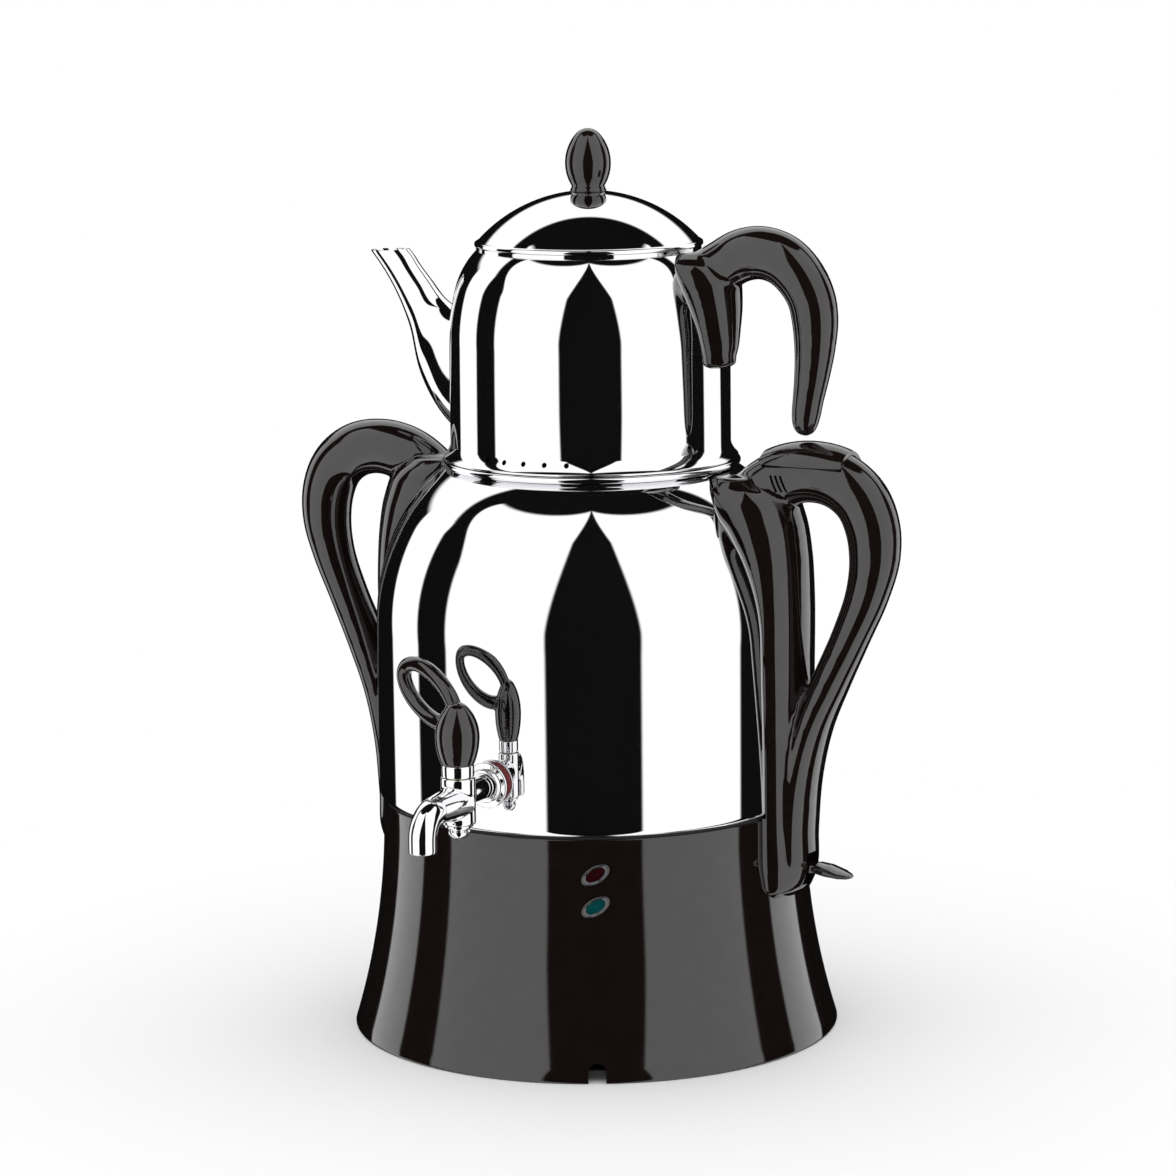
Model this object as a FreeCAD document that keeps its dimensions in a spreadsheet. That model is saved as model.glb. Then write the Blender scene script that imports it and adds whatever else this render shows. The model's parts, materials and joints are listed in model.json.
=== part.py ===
# Electric samovar with a teapot on top: a mirror steel boiler on a flared black base,
# two loop handles, a plug tap with a ring lever, and a lidded steel teapot.
# Origin on the axis at the bottom of the base, +Z up, tap towards -Y, switch handle towards +X.
import FreeCAD, Part
import Sketcher
import os
from math import atan2, cos, degrees, radians, sin, sqrt
from FreeCAD import Matrix, Placement, Rotation, Vector

os.makedirs("parts", exist_ok=True)
doc = FreeCAD.newDocument("Samovar")
sheet = doc.addObject("Spreadsheet::Sheet", "Sizes")

# Driving dimensions, millimetres and degrees.
dimensions = {
    # fits between pieces
    "seatGap": 0.3, "mountGap": 0.2, "runningFit": 0.05, "screwFit": 0.1, "contactGap": 0.1,
    # base
    "seamStep": 1.7, "skirtFlare": 15.2, "skirtWall": 2.5, "rimWall": 5.0,
    "rimHeight": 8.0, "flareHeight": 100.0, "skirtBand": 8.0, "ledgeWidth": 14.3,
    "ledgeThickness": 3.0, "footEdge": 1.2, "notchWidth": 8.0, "notchHeight": 9.0,
    "faceTurn": 27.7, "plateThickness": 2.5, "padHeight": 2.5, "padRadius": 7.0,
    "padInset": 28.5, "bossRadius": 5.0, "bossInset": 13.0, "bossTop": 60.0,
    "baseScrewRadius": 1.6, "baseScrewHead": 3.2, "baseScrewHeadHeight": 1.6,
    "baseScrewLength": 18.0,
    # power entry
    "glandHeight": 20.0, "glandFlange": 8.0, "glandBody": 5.8, "glandBore": 3.6,
    "glandProud": 2.2, "glandDepth": 12.0,
    # signal lamps
    "lampDrop": 15.7, "lampPitch": 14.6, "lampLong": 6.9, "lampShort": 3.75,
    "lampRim": 1.1, "lampTilt": 31.0, "lampProud": 1.3, "lensProud": 0.8, "lampDepth": 11.0,
    "lampBoardWidth": 18.0, "lampBoardHeight": 30.0, "lampBoardThickness": 2.0,
    # boiler
    "gasketThickness": 1.0, "gasketWidth": 7.0, "boilerRadius": 100.0, "boilerWall": 1.0,
    "boilerEdge": 3.0, "boilerLip": 10.0, "boilerSide": 81.0, "shoulderRadius": 110.0,
    "shoulderTurn": 27.0, "crownRadius": 55.0, "neckRadius": 66.0, "floorLift": 7.0,
    "floorThickness": 1.2, "diffuserRadius": 75.0, "diffuserThickness": 3.3,
    "elementCircle": 58.0, "elementRadius": 4.2, "elementTail": 3.2, "elementTailLength": 16.0,
    "elementTailSpread": 9.0, "thermostatRadius": 12.0, "thermostatHeight": 8.0,
    "fuseRadius": 3.0, "fuseLength": 20.0, "fusePlace": 30.0, "terminalLength": 40.0,
    "terminalWidth": 16.0, "terminalHeight": 14.0, "terminalPlace": 45.0,
    "ringOut": 3.0, "ringIn": 5.5, "neckRingHeight": 3.0, "neckCollar": 1.5,
    "neckCollarDepth": 6.0,
    # loop handles
    "crestRise": 14.8, "handleOut": 55.0, "handleGrip": 12.4, "handleDrop": 39.0,
    "columnProud": 10.0, "columnHalf": 21.0, "capThickness": 1.8, "capBack": 10.0,
    "capOut": 31.0, "capWrap": 4.0, "slitCount": 3, "slitPitch": 2.4, "slitWidth": 1.1,
    "slitLength": 8.0, "slitDrop": 20.7, "slitBack": 2.0, "slitLean": 20.0,
    "slitMargin": 12.0, "slitDepth": 2.0,
    "handleStud": 3.0, "studReach": 9.0, "upperStudRise": 15.0, "lowerStudRise": 13.0,
    # switch in the foot of the right handle
    "switchRise": 13.5, "switchWindow": 15.0, "switchHalf": 6.0, "switchBody": 3.6,
    "switchLift": 1.2, "pivotOut": 7.0, "leverPin": 1.2, "leverOut": 31.5,
    "leverHalf": 7.5, "leverRoot": 3.4, "leverSlope": 9.0, "waistOut": 15.0,
    # tap
    "tapLift": 23.0, "tapTube": 6.0, "tapBore": 3.5, "tapOut": 28.6, "barrelRadius": 7.75,
    "barrelDrop": 12.0, "barrelRise": 9.0, "plugRadius": 5.0, "plugStud": 2.5,
    "plugShank": 3.0, "shankRise": 13.4, "portRadius": 3.0, "armDrop": 2.0,
    "armRadius": 6.3, "outletRadius": 6.1, "outletBore": 4.4, "outletReach": 32.0,
    "outletDrop": 18.5, "bendRadius": 10.5, "tapGasketRadius": 11.0,
    "tapGasketThickness": 2.0, "tapFlangeRadius": 10.0, "tapFlangeThickness": 3.4,
    "innerGasketRadius": 10.0, "innerGasketThickness": 2.0, "lockNutRadius": 10.0,
    "lockNutThickness": 5.0, "collarRadius": 7.25, "collarRise": 5.6, "oliveRise": 27.8,
    "oliveWaistRise": 12.4, "oliveRadius": 9.8, "oliveTip": 6.4, "tapWasher": 0.7,
    "tapWasherRadius": 6.5, "acornRadius": 5.3, "acornDrop": 7.6, "ringTurn": 20.0,
    "ringLong": 18.8, "ringShort": 9.5, "ringTilt": 27.8, "ringPlace": 18.6,
    "ringLift": 1.1, "ringTube": 3.4,
    # teapot
    "potStep": 1.5, "teapotWall": 1.0, "flangeOut": 3.5, "teapotFillet": 5.5,
    "teapotSide": 53.5, "teapotShoulderRadius": 95.0, "teapotShoulderTurn": 15.26,
    "teapotCrownRadius": 38.0, "mouthIn": 13.0, "mouthLip": 1.7, "spigotFit": 0.8,
    "spigotDepth": 7.0, "ventRadius": 1.15, "ventCount": 5, "ventStep": 9.0, "ventLift": 3.6,
    "spoutWall": 0.9, "spoutDrop": 5.4, "spoutOut": 49.5, "spoutMouth": 18.0,
    "spoutFootLift": 1.5, "spoutRootRise": 10.0, "spoutHalf": 15.0, "strainerHole": 2.0,
    "strainerPitch": 7.0, "strainerRows": 5, "strainerColumns": 3, "strainerLift": 36.5,
    # hook handle of the teapot
    "hookRise": 11.6, "hookOut": 59.5, "hookGrip": 10.6, "hookTipGap": 3.6,
    "shieldDrop": 10.0, "shieldProud": 11.5, "shieldHalf": 17.0, "hookStud": 3.0,
    "hookStudReach": 8.0, "hookStudRise": 16.0,
    # lid
    "lidOver": 0.8, "lidRimHeight": 1.5, "lidBevel": 1.4, "lidRise": 22.5, "lidWall": 0.8,
    "lidClearance": 0.7, "lidFit": 1.8, "lidSpigotDepth": 5.7, "lidHole": 2.2, "knobRadius": 10.45,
    "knobHeight": 28.17, "knobWaistRise": 12.47, "knobTip": 7.2, "knobNeck": 7.5,
    "knobNeckRise": 2.07, "knobFoot": 8.3, "knobScrewRadius": 2.0, "knobScrewHead": 4.0,
    "knobScrewHeadHeight": 2.0, "knobScrewLength": 18.0,
}
for row, (name, number) in enumerate(dimensions.items(), start=1):
    sheet.set("A%d" % row, name)
    sheet.set("B%d" % row, str(number))
    sheet.setAlias("B%d" % row, name)
doc.recompute()


class Size:
    # A number together with the formula that gives it from cells of the sheet.
    def __init__(self, value, formula):
        self.value = value
        self.formula = formula

    def __add__(self, other):
        other = size(other)
        return Size(self.value + other.value, "(%s + %s)" % (self.formula, other.formula))

    def __sub__(self, other):
        other = size(other)
        return Size(self.value - other.value, "(%s - %s)" % (self.formula, other.formula))

    def __mul__(self, other):
        other = size(other)
        return Size(self.value * other.value, "(%s * %s)" % (self.formula, other.formula))

    def __truediv__(self, other):
        other = size(other)
        return Size(self.value / other.value, "(%s / %s)" % (self.formula, other.formula))

    def __rsub__(self, other):
        return size(other) - self

    def __neg__(self):
        return size(0) - self

    def __float__(self):
        return float(self.value)

    __radd__ = __add__
    __rmul__ = __mul__


class Sizes:
    # Every named cell of the sheet, as a Size.
    def __getattr__(self, name):
        return Size(float(sheet.get(name)), "Sizes." + name)


def size(thing):
    return thing if isinstance(thing, Size) else Size(float(thing), repr(float(thing)))


def rootOf(thing):
    return Size(sqrt(thing.value), "sqrt(%s)" % thing.formula)


def cosOf(angle):
    return Size(cos(radians(angle.value)), "cos(%s)" % angle.formula)


def sinOf(angle):
    return Size(sin(radians(angle.value)), "sin(%s)" % angle.formula)


s = Sizes()
nodes = []


def node(thing, label):
    thing.Label = label
    nodes.append(thing)
    return thing


def bind(thing, **sizes):
    for name, value in sizes.items():
        thing.setExpression(name, size(value).formula)
    return thing


def place(thing, at=(0, 0, 0), rotation=None):
    # Turns an object, then ties its place to the sheet.
    at = [size(value) for value in at]
    thing.Placement = Placement(Vector(*[value.value for value in at]), rotation or Rotation())
    for axis, value in zip("xyz", at):
        thing.setExpression("Placement.Base." + axis, value.formula)
    return thing


towardsX = Rotation(Vector(0, 1, 0), 90)
towardsTap = Rotation(Vector(1, 0, 0), 90)
towardsBack = Rotation(Vector(1, 0, 0), -90)


def arcBetween(start, end, radius):
    # The short arc of a signed radius: a positive one has its centre on the left of start to end.
    chord = end - start
    middle = (start + end) * 0.5
    left = Vector(-chord.y, chord.x, 0).normalize()
    rise = sqrt(max(radius * radius - chord.Length ** 2 / 4, 0.0))
    centre = middle + left * (rise if radius > 0 else -rise)
    first, last = (start, end) if radius > 0 else (end, start)
    angles = [atan2(point.y - centre.y, point.x - centre.x) for point in (first, last)]
    circle = Part.Circle(centre, Vector(0, 0, 1), abs(radius))
    return Part.ArcOfCircle(circle, angles[0], angles[1])


def turned(name, outline, at=(0, 0, 0), rotation=None):
    # A body turned about its own Z axis. Each corner of the outline is (radius, height), or
    # (radius, height, arc radius) where an arc leads to it from the corner before.
    body = doc.addObject("PartDesign::Body", name)
    sketch = body.newObject("Sketcher::SketchObject", name + "Outline")
    plane = [item for item in body.Origin.OriginFeatures if item.Role == "XZ_Plane"][0]
    sketch.AttachmentSupport = [(plane, "")]
    sketch.MapMode = "FlatFace"
    corners = [[size(value) for value in corner] for corner in outline]
    points = [Vector(corner[0].value, corner[1].value, 0) for corner in corners]
    ends = []
    for index, corner in enumerate(corners):
        start, end = points[index - 1], points[index]
        if len(corner) == 3:
            number = sketch.addGeometry(arcBetween(start, end, corner[2].value), False)
            ends.append((number, 1, 2) if corner[2].value > 0 else (number, 2, 1))
            radius = corner[2] if corner[2].value > 0 else -corner[2]
            constrain(sketch, "Radius", (number,), radius)
        else:
            number = sketch.addGeometry(Part.LineSegment(start, end), False)
            ends.append((number, 1, 2))
    for index, corner in enumerate(corners):
        number, _, last = ends[index]
        following, first, _ = ends[(index + 1) % len(ends)]
        sketch.addConstraint(Sketcher.Constraint("Coincident", number, last, following, first))
        constrain(sketch, "DistanceX", (-1, 1, number, last), corner[0])
        constrain(sketch, "DistanceY", (-1, 1, number, last), corner[1])
    turn = body.newObject("PartDesign::Revolution", name + "Turn")
    turn.Profile = sketch
    turn.ReferenceAxis = (sketch, ["V_Axis"])
    turn.Angle = 360
    sketch.Visibility = False
    body.Tip = turn
    return place(body, at, rotation)


def constrain(sketch, kind, where, value):
    # A zero distance is a point on the axis, which needs no size.
    if kind != "Radius" and abs(value.value) < 1e-9:
        axis = -2 if kind == "DistanceX" else -1
        sketch.addConstraint(Sketcher.Constraint("PointOnObject", where[2], where[3], axis))
        return
    number = sketch.addConstraint(Sketcher.Constraint(kind, *where, value.value))
    sketch.setExpression("Constraints[%d]" % number, value.formula)


def rod(name, radius, length, at=(0, 0, 0), rotation=None):
    piece = doc.addObject("Part::Cylinder", name)
    bind(piece, Radius=radius, Height=length)
    return place(piece, at, rotation)


def block(name, length, width, height, at=(0, 0, 0), rotation=None):
    piece = doc.addObject("Part::Box", name)
    bind(piece, Length=length, Width=width, Height=height)
    return place(piece, at, rotation)


def joined(name, *pieces):
    fuse = doc.addObject("Part::MultiFuse", name)
    fuse.Shapes = list(pieces)
    return fuse


def cut(name, base, *tools):
    tool = tools[0] if len(tools) == 1 else joined(name + "Tools", *tools)
    result = doc.addObject("Part::Cut", name)
    result.Base = base
    result.Tool = tool
    return result


def group(name, *pieces):
    bunch = doc.addObject("Part::Compound", name)
    bunch.Links = list(pieces)
    return bunch


def shaped(name, shape):
    piece = doc.addObject("Part::Feature", name)
    piece.Shape = shape
    return piece


def trimmed(name, shape, *tools):
    # A free-form shape less what its neighbours and bores take from it.
    doc.recompute()
    for tool in tools:
        shape = shape.cut(tool.Shape)
    return shaped(name, Part.makeCompound(shape.Solids) if len(shape.Solids) > 1
                  else shape.Solids[0])


def oval(centre, along, across):
    # A closed oval whose half axes are the two vectors.
    normal = along.cross(across)
    matrix = Matrix(along.x, across.x, normal.x, centre.x,
                    along.y, across.y, normal.y, centre.y,
                    along.z, across.z, normal.z, centre.z)
    return Part.Wire(Part.makeCircle(1).transformGeometry(matrix).Edges)


def tube(stations):
    # A smooth bar in the XZ plane through stations of (x, z, half thickness, half width).
    sections = []
    for index, (x, z, thick, wide) in enumerate(stations):
        before = stations[max(index - 1, 0)]
        after = stations[min(index + 1, len(stations) - 1)]
        along = Vector(after[0] - before[0], 0, after[1] - before[1]).normalize()
        sections.append(oval(Vector(x, 0, z), Vector(along.z, 0, -along.x) * thick,
                             Vector(0, wide, 0)))
    return Part.makeLoft(sections, True, True)


def column(stations):
    # An upright bar through level ovals of (height, inner centre, outer face, half width).
    sections = [oval(Vector(centre, 0, z), Vector(face - centre, 0, 0), Vector(0, half, 0))
                for z, centre, face, half in stations]
    return Part.makeLoft(sections, True, True)


def polar(radius, angle, height):
    # A point at an angle from the tap side, turned towards the right handle.
    turn = radians(angle)
    return Vector(radius * sin(turn), -radius * cos(turn), height)


# Sizes worked out from the sheet.
skirtHeight = s.flareHeight + s.skirtBand
skirtTopRadius = s.boilerRadius - s.seamStep
skirtFootRadius = skirtTopRadius + s.skirtFlare
ledgeRadius = skirtTopRadius - s.ledgeWidth
rimInner = skirtFootRadius - s.rimWall
bossCircle = rimInner - s.bossInset
padCircle = rimInner - s.padInset
boilerBottom = skirtHeight + s.gasketThickness
shoulderStart = boilerBottom + s.boilerSide
redLampHeight = skirtHeight - s.lampDrop
handleFoot = boilerBottom - s.handleDrop
handleReach = s.boilerRadius + s.handleOut
upperStud = shoulderStart + s.upperStudRise
lowerStud = boilerBottom + s.lowerStudRise
capStart = s.boilerRadius - s.capBack
capEnd = s.boilerRadius + s.capOut
slitPlace = s.boilerRadius - s.slitBack
switchHeight = handleFoot + s.switchRise
switchFace = s.boilerRadius + s.switchLift
leverPivot = s.boilerRadius + s.pivotOut
leverWaist = s.boilerRadius + s.waistOut
leverTip = s.boilerRadius + s.leverOut
tapHeight = boilerBottom + s.tapLift
barrelBottom = tapHeight - s.barrelDrop
barrelTop = tapHeight + s.barrelRise
outletBottom = tapHeight - s.outletDrop
acornBottom = barrelBottom - s.acornDrop
collarTop = barrelTop + s.collarRise
oliveWaist = collarTop + s.oliveWaistRise
oliveTop = collarTop + s.oliveRise
plugShankTop = collarTop + s.shankRise
ringHeight = oliveTop + s.ringLift
neckRingOuter = s.neckRadius + s.ringOut
neckRingInner = s.neckRadius - s.ringIn
spigotRadius = neckRingInner - s.spigotFit
teapotRadius = s.neckRadius - s.potStep
teapotFlange = teapotRadius + s.flangeOut
mouthRadius = teapotRadius - s.mouthIn
spoutReach = teapotRadius + s.spoutOut
hookReach = teapotRadius + s.hookOut
lidRadius = mouthRadius + s.lidOver
lidEdge = lidRadius - s.lidBevel
lidSpigot = mouthRadius - s.lidFit
flareOut = skirtFootRadius - skirtTopRadius
flareRadius = (s.flareHeight * s.flareHeight + flareOut * flareOut) / (2 * flareOut)
flareRun = s.flareHeight - s.footEdge
footRadius = skirtTopRadius + flareRadius - rootOf(flareRadius * flareRadius
                                                     - flareRun * flareRun)
skirtInner = skirtTopRadius - s.skirtWall
innerRise = s.flareHeight - s.rimHeight
innerOut = rimInner - skirtInner
innerFlare = (innerRise * innerRise + innerOut * innerOut) / (2 * innerOut)
plateTop = s.padHeight + s.plateThickness
floorBottom = boilerBottom + s.floorLift
shoulderAxis = s.boilerRadius - s.shoulderRadius
crownAxis = shoulderAxis + (s.shoulderRadius - s.crownRadius) * cosOf(s.shoulderTurn)
crownHeight = shoulderStart + (s.shoulderRadius - s.crownRadius) * sinOf(s.shoulderTurn)
neckIn = s.neckRadius - crownAxis
neckHeight = crownHeight + rootOf(s.crownRadius * s.crownRadius - neckIn * neckIn)
handleCrest = neckHeight + s.crestRise
slitHeight = handleCrest - s.slitDrop
ringSeat = neckHeight + s.seatGap
ringTop = ringSeat + s.neckRingHeight
teapotBottom = ringTop + s.seatGap
teapotShoulder = teapotBottom + s.teapotSide
potAxis = teapotRadius - s.teapotShoulderRadius
potCrown = s.teapotShoulderRadius - s.teapotCrownRadius
potCrownAxis = potAxis + potCrown * cosOf(s.teapotShoulderTurn)
potCrownHeight = teapotShoulder + potCrown * sinOf(s.teapotShoulderTurn)


def crownAt(radius, arc, axis, height):
    # The height of a crown arc at a radius from the axis of the vessel.
    return height + rootOf(arc * arc - (radius - axis) * (radius - axis))


mouthHeight = crownAt(mouthRadius, s.teapotCrownRadius, potCrownAxis,
                      potCrownHeight) + s.mouthLip
hookCrest = mouthHeight + s.hookRise
hookTip = handleCrest + s.hookTipGap
shieldFoot = teapotShoulder - s.shieldDrop
spoutTop = mouthHeight - s.spoutDrop


def vesselSide(offset, top=None):
    # The outside of the base and the boiler, set out by an offset, from the floor to the neck.
    shoulder = s.shoulderRadius + offset
    crown = s.crownRadius + offset
    neck = s.neckRadius + offset
    return [
        (skirtFootRadius + offset, 0),
        (skirtTopRadius + offset, s.flareHeight, -flareRadius),
        (skirtTopRadius + offset, boilerBottom - offset),
        (s.boilerRadius + offset, boilerBottom - offset),
        (s.boilerRadius + offset, shoulderStart),
        (shoulderAxis + shoulder * cosOf(s.shoulderTurn),
         shoulderStart + shoulder * sinOf(s.shoulderTurn), shoulder),
        (neck, crownAt(neck, crown, crownAxis, crownHeight), crown),
    ]


def vesselEnvelope():
    side = vesselSide(s.mountGap)
    return turned("vesselEnvelope", [(0, 0)] + side + [(0, side[-1][1])])


def potEnvelope():
    offset = s.mountGap
    radius = teapotRadius + offset
    shoulder = s.teapotShoulderRadius + offset
    crown = s.teapotCrownRadius + offset
    lidWay = lidRadius + s.lidClearance
    return turned("potEnvelope", [
        (0, teapotBottom),
        (radius, teapotBottom),
        (radius, teapotShoulder),
        (potAxis + shoulder * cosOf(s.teapotShoulderTurn),
         teapotShoulder + shoulder * sinOf(s.teapotShoulderTurn), shoulder),
        (lidWay, crownAt(lidWay, crown, potCrownAxis, potCrownHeight), crown),
        (lidWay, hookCrest + s.hookGrip),
        (0, hookCrest + s.hookGrip),
    ])


def ringOf(name, outer, inner, thickness, at=(0, 0, 0), rotation=None):
    # A flat ring between two radii, lying on its own XY plane.
    outline = [(inner, 0), (outer, 0), (outer, thickness), (inner, thickness)]
    return turned(name, outline, at, rotation)


# Base
def lampOval(name, spare, start, end, lamp):
    # An oval bar pointing out of the base at the lamps, between two radii.
    turn = float(s.faceTurn)
    out = polar(1, turn, 0)
    rotation = Rotation(Vector(0, 0, 1), turn) * towardsTap * Rotation(Vector(0, 0, 1),
                                                                        float(s.lampTilt))
    face = doc.addObject("Part::Ellipse", name + "Oval")
    bind(face, MajorRadius=s.lampLong - spare, MinorRadius=s.lampShort - spare)
    height = redLampHeight - s.lampPitch * lamp
    face.Placement = Placement(out * float(start) + Vector(0, 0, height.value), rotation)
    bar = doc.addObject("Part::Extrusion", name)
    bar.Base = face
    bar.DirMode = "Custom"
    bar.Dir = out
    bar.Solid = True
    bind(bar, LengthFwd=end - start)
    return bar


def skirt():
    outside = vesselSide(size(0))[:2]
    blank = turned("skirtBlank", [
        (rimInner, 0),
        (footRadius - s.footEdge, 0),
        (footRadius, s.footEdge, s.footEdge),
        (outside[1][0], s.flareHeight, -flareRadius),
        (skirtTopRadius, skirtHeight),
        (ledgeRadius, skirtHeight),
        (ledgeRadius, skirtHeight - s.ledgeThickness),
        (skirtInner, skirtHeight - s.ledgeThickness),
        (skirtInner, s.flareHeight),
        (rimInner, s.rimHeight, innerFlare),
    ])
    bosses = []
    holes = []
    for number in range(4):
        spot = polar(float(bossCircle), 45 + 90 * number, 0)
        bosses.append(rod("boss%d" % number, s.bossRadius, s.bossTop - plateTop,
                          (spot.x, spot.y, plateTop)))
        holes.append(rod("bossHole%d" % number, s.baseScrewRadius + s.screwFit,
                         s.baseScrewLength + s.screwFit, (spot.x, spot.y, 0)))
    shell = joined("skirtShell", blank, *bosses)
    holes += [lampOval("lampHole%d" % lamp, size(0), ledgeRadius, skirtFootRadius, lamp)
              for lamp in range(2)]
    holes.append(rod("glandHole", s.glandBody + s.contactGap, skirtFootRadius,
                     (0, 0, s.glandHeight), towardsBack))
    holes.append(notch())
    node(cut("skirt", shell, *holes), "base_skirt")


def notch():
    # A small round-topped notch in the bottom edge, below the lamps.
    half = s.notchWidth / 2
    turn = float(s.faceTurn)
    start = polar(float(ledgeRadius), turn, 0)
    corner = start + polar(float(half), turn + 90, 0)
    slot = block("notchSlot", s.notchWidth, skirtFootRadius, s.notchHeight - half,
                 (corner.x, corner.y, 0), Rotation(Vector(0, 0, 1), turn + 180))
    top = rod("notchTop", half, skirtFootRadius, (start.x, start.y, s.notchHeight - half),
              Rotation(Vector(0, 0, 1), turn) * towardsTap)
    return joined("notch", slot, top)


def underside():
    plate = rod("plate", rimInner - s.seatGap, s.plateThickness, (0, 0, s.padHeight))
    holes = []
    screws = []
    pads = []
    for number in range(4):
        spot = polar(float(bossCircle), 45 + 90 * number, 0)
        holes.append(rod("plateHole%d" % number, s.baseScrewRadius + s.screwFit,
                         s.baseScrewLength, (spot.x, spot.y, 0)))
        head = s.padHeight - s.baseScrewHeadHeight
        screws.append(turned("baseScrew%d" % number, [
            (0, head), (s.baseScrewHead, head), (s.baseScrewHead, s.padHeight),
            (s.baseScrewRadius, s.padHeight), (s.baseScrewRadius, s.baseScrewLength),
            (0, s.baseScrewLength)], (spot.x, spot.y, 0)))
        foot = polar(float(padCircle), 45 + 90 * number, 0)
        pads.append(rod("pad%d" % number, s.padRadius, s.padHeight, (foot.x, foot.y, 0)))
    node(cut("bottomPlate", plate, *holes), "bottom_plate")
    node(group("padGroup", *pads), "anti_slip_pads")
    node(group("baseScrews", *screws), "base_screws")


def powerEntry(envelope):
    outer = skirtFootRadius - s.footEdge
    gland = turned("glandTurned", [
        (s.glandBore, 0), (s.glandBody, 0), (s.glandBody, s.glandDepth),
        (s.glandFlange, s.glandDepth), (s.glandFlange, s.glandDepth + s.glandFlange / 2),
        (s.glandBore, s.glandDepth + s.glandFlange / 2 + s.glandProud)],
        (0, outer - s.glandDepth - s.glandFlange / 2, s.glandHeight), towardsBack)
    flangeOnly = rod("glandKeep", s.glandBody, skirtFootRadius, (0, 0, s.glandHeight), towardsBack)
    node(cut("gland", gland, cut("glandSeat", envelope, flangeOnly)), "cord_gland")


def lamps():
    inner = skirtTopRadius - s.lampDepth
    face = skirtTopRadius + s.lampProud
    rims = []
    for lamp, label in enumerate(("red_lamp_lens", "green_lamp_lens")):
        rim = lampOval("rimOval%d" % lamp, s.contactGap, inner, face, lamp)
        hole = lampOval("rimHole%d" % lamp, s.lampRim, inner, face, lamp)
        rims.append(cut("lampRim%d" % lamp, rim, hole))
        lens = lampOval("lens%d" % lamp, s.lampRim + s.contactGap, inner,
                        skirtTopRadius + s.lensProud, lamp)
        node(lens, label)
    node(group("lampRims", *rims), "lamp_rims")
    turn = float(s.faceTurn)
    middle = redLampHeight - s.lampPitch / 2
    corner = polar(float(inner), turn, 0) - polar(float(s.lampBoardWidth / 2), turn + 90, 0)
    board = block("lampBoard", s.lampBoardWidth, s.lampBoardThickness, s.lampBoardHeight,
                  (corner.x, corner.y, middle - s.lampBoardHeight / 2),
                  Rotation(Vector(0, 0, 1), turn))
    node(board, "lamp_board")


# Boiler
def boiler():
    wall = s.boilerWall
    bottom = boilerBottom
    outer = vesselSide(size(0))[4:]
    inner = vesselSide(-wall)[4:]
    lip = s.boilerRadius - s.boilerEdge
    blank = turned("boilerBlank", [
        (s.boilerRadius - s.boilerLip, bottom),
        (lip, bottom),
        (s.boilerRadius, bottom + s.boilerEdge, s.boilerEdge),
        outer[0], outer[1], outer[2],
        (inner[2][0], inner[2][1]),
        (inner[1][0], inner[1][1], -(s.crownRadius - wall)),
        (inner[0][0], inner[0][1], -(s.shoulderRadius - wall)),
        (s.boilerRadius - wall, bottom + s.boilerEdge),
        (lip, bottom + wall, -(s.boilerEdge - wall)),
        (s.boilerRadius - s.boilerLip, bottom + wall),
    ])
    tapHole = rod("tapHole", s.tapTube + s.contactGap, skirtFootRadius,
                  (0, 0, tapHeight), towardsTap)
    node(cut("boilerShell", blank, tapHole), "boiler_shell")
    rim = s.boilerRadius - wall - s.contactGap
    seat = bottom + s.boilerEdge
    node(turned("boilerFloor", [
        (0, floorBottom), (rim - s.floorThickness, floorBottom), (rim - s.floorThickness, seat),
        (rim, seat), (rim, floorBottom + s.floorThickness), (0, floorBottom + s.floorThickness)],
    ), "boiler_floor")
    node(ringOf("seamGasket", s.boilerRadius - s.boilerEdge,
                s.boilerRadius - s.boilerEdge - s.gasketWidth, s.gasketThickness,
                (0, 0, skirtHeight)), "seam_gasket")
    node(turned("neckRing", [
        (neckRingInner, neckHeight - s.neckCollarDepth),
        (neckRingInner + s.neckCollar, neckHeight - s.neckCollarDepth),
        (neckRingInner + s.neckCollar, ringSeat),
        (neckRingOuter - s.neckRingHeight / 2, ringSeat),
        (neckRingOuter, ringSeat + s.neckRingHeight / 2, s.neckRingHeight / 2),
        (neckRingOuter - s.neckRingHeight / 2, ringTop, s.neckRingHeight / 2),
        (neckRingInner, ringTop)]), "neck_ring")


def heating():
    under = floorBottom - s.diffuserThickness
    node(rod("diffuser", s.diffuserRadius, s.diffuserThickness, (0, 0, under)), "heat_diffuser")
    torus = doc.addObject("Part::Torus", "elementRing")
    bind(torus, Radius1=s.elementCircle, Radius2=s.elementRadius)
    level = under - s.elementRadius - s.contactGap
    place(torus, (0, 0, level))
    tails = [rod("elementTail%d" % side, s.elementTail, s.elementTailLength,
                 (side * s.elementTailSpread, s.elementCircle, level - s.elementTailLength))
             for side in (-1, 1)]
    node(joined("element", torus, *tails), "heating_element")
    node(rod("thermostat", s.thermostatRadius, s.thermostatHeight,
             (0, 0, under - s.thermostatHeight)), "thermostat")
    node(rod("fuse", s.fuseRadius, s.fuseLength,
             (-s.fuseLength / 2, -s.fusePlace, under - s.fuseRadius - s.contactGap),
             towardsX), "thermal_fuse")
    node(block("terminals", s.terminalLength, s.terminalWidth, s.terminalHeight,
               (-s.terminalLength / 2, s.terminalPlace, plateTop)), "terminal_block")


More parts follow.
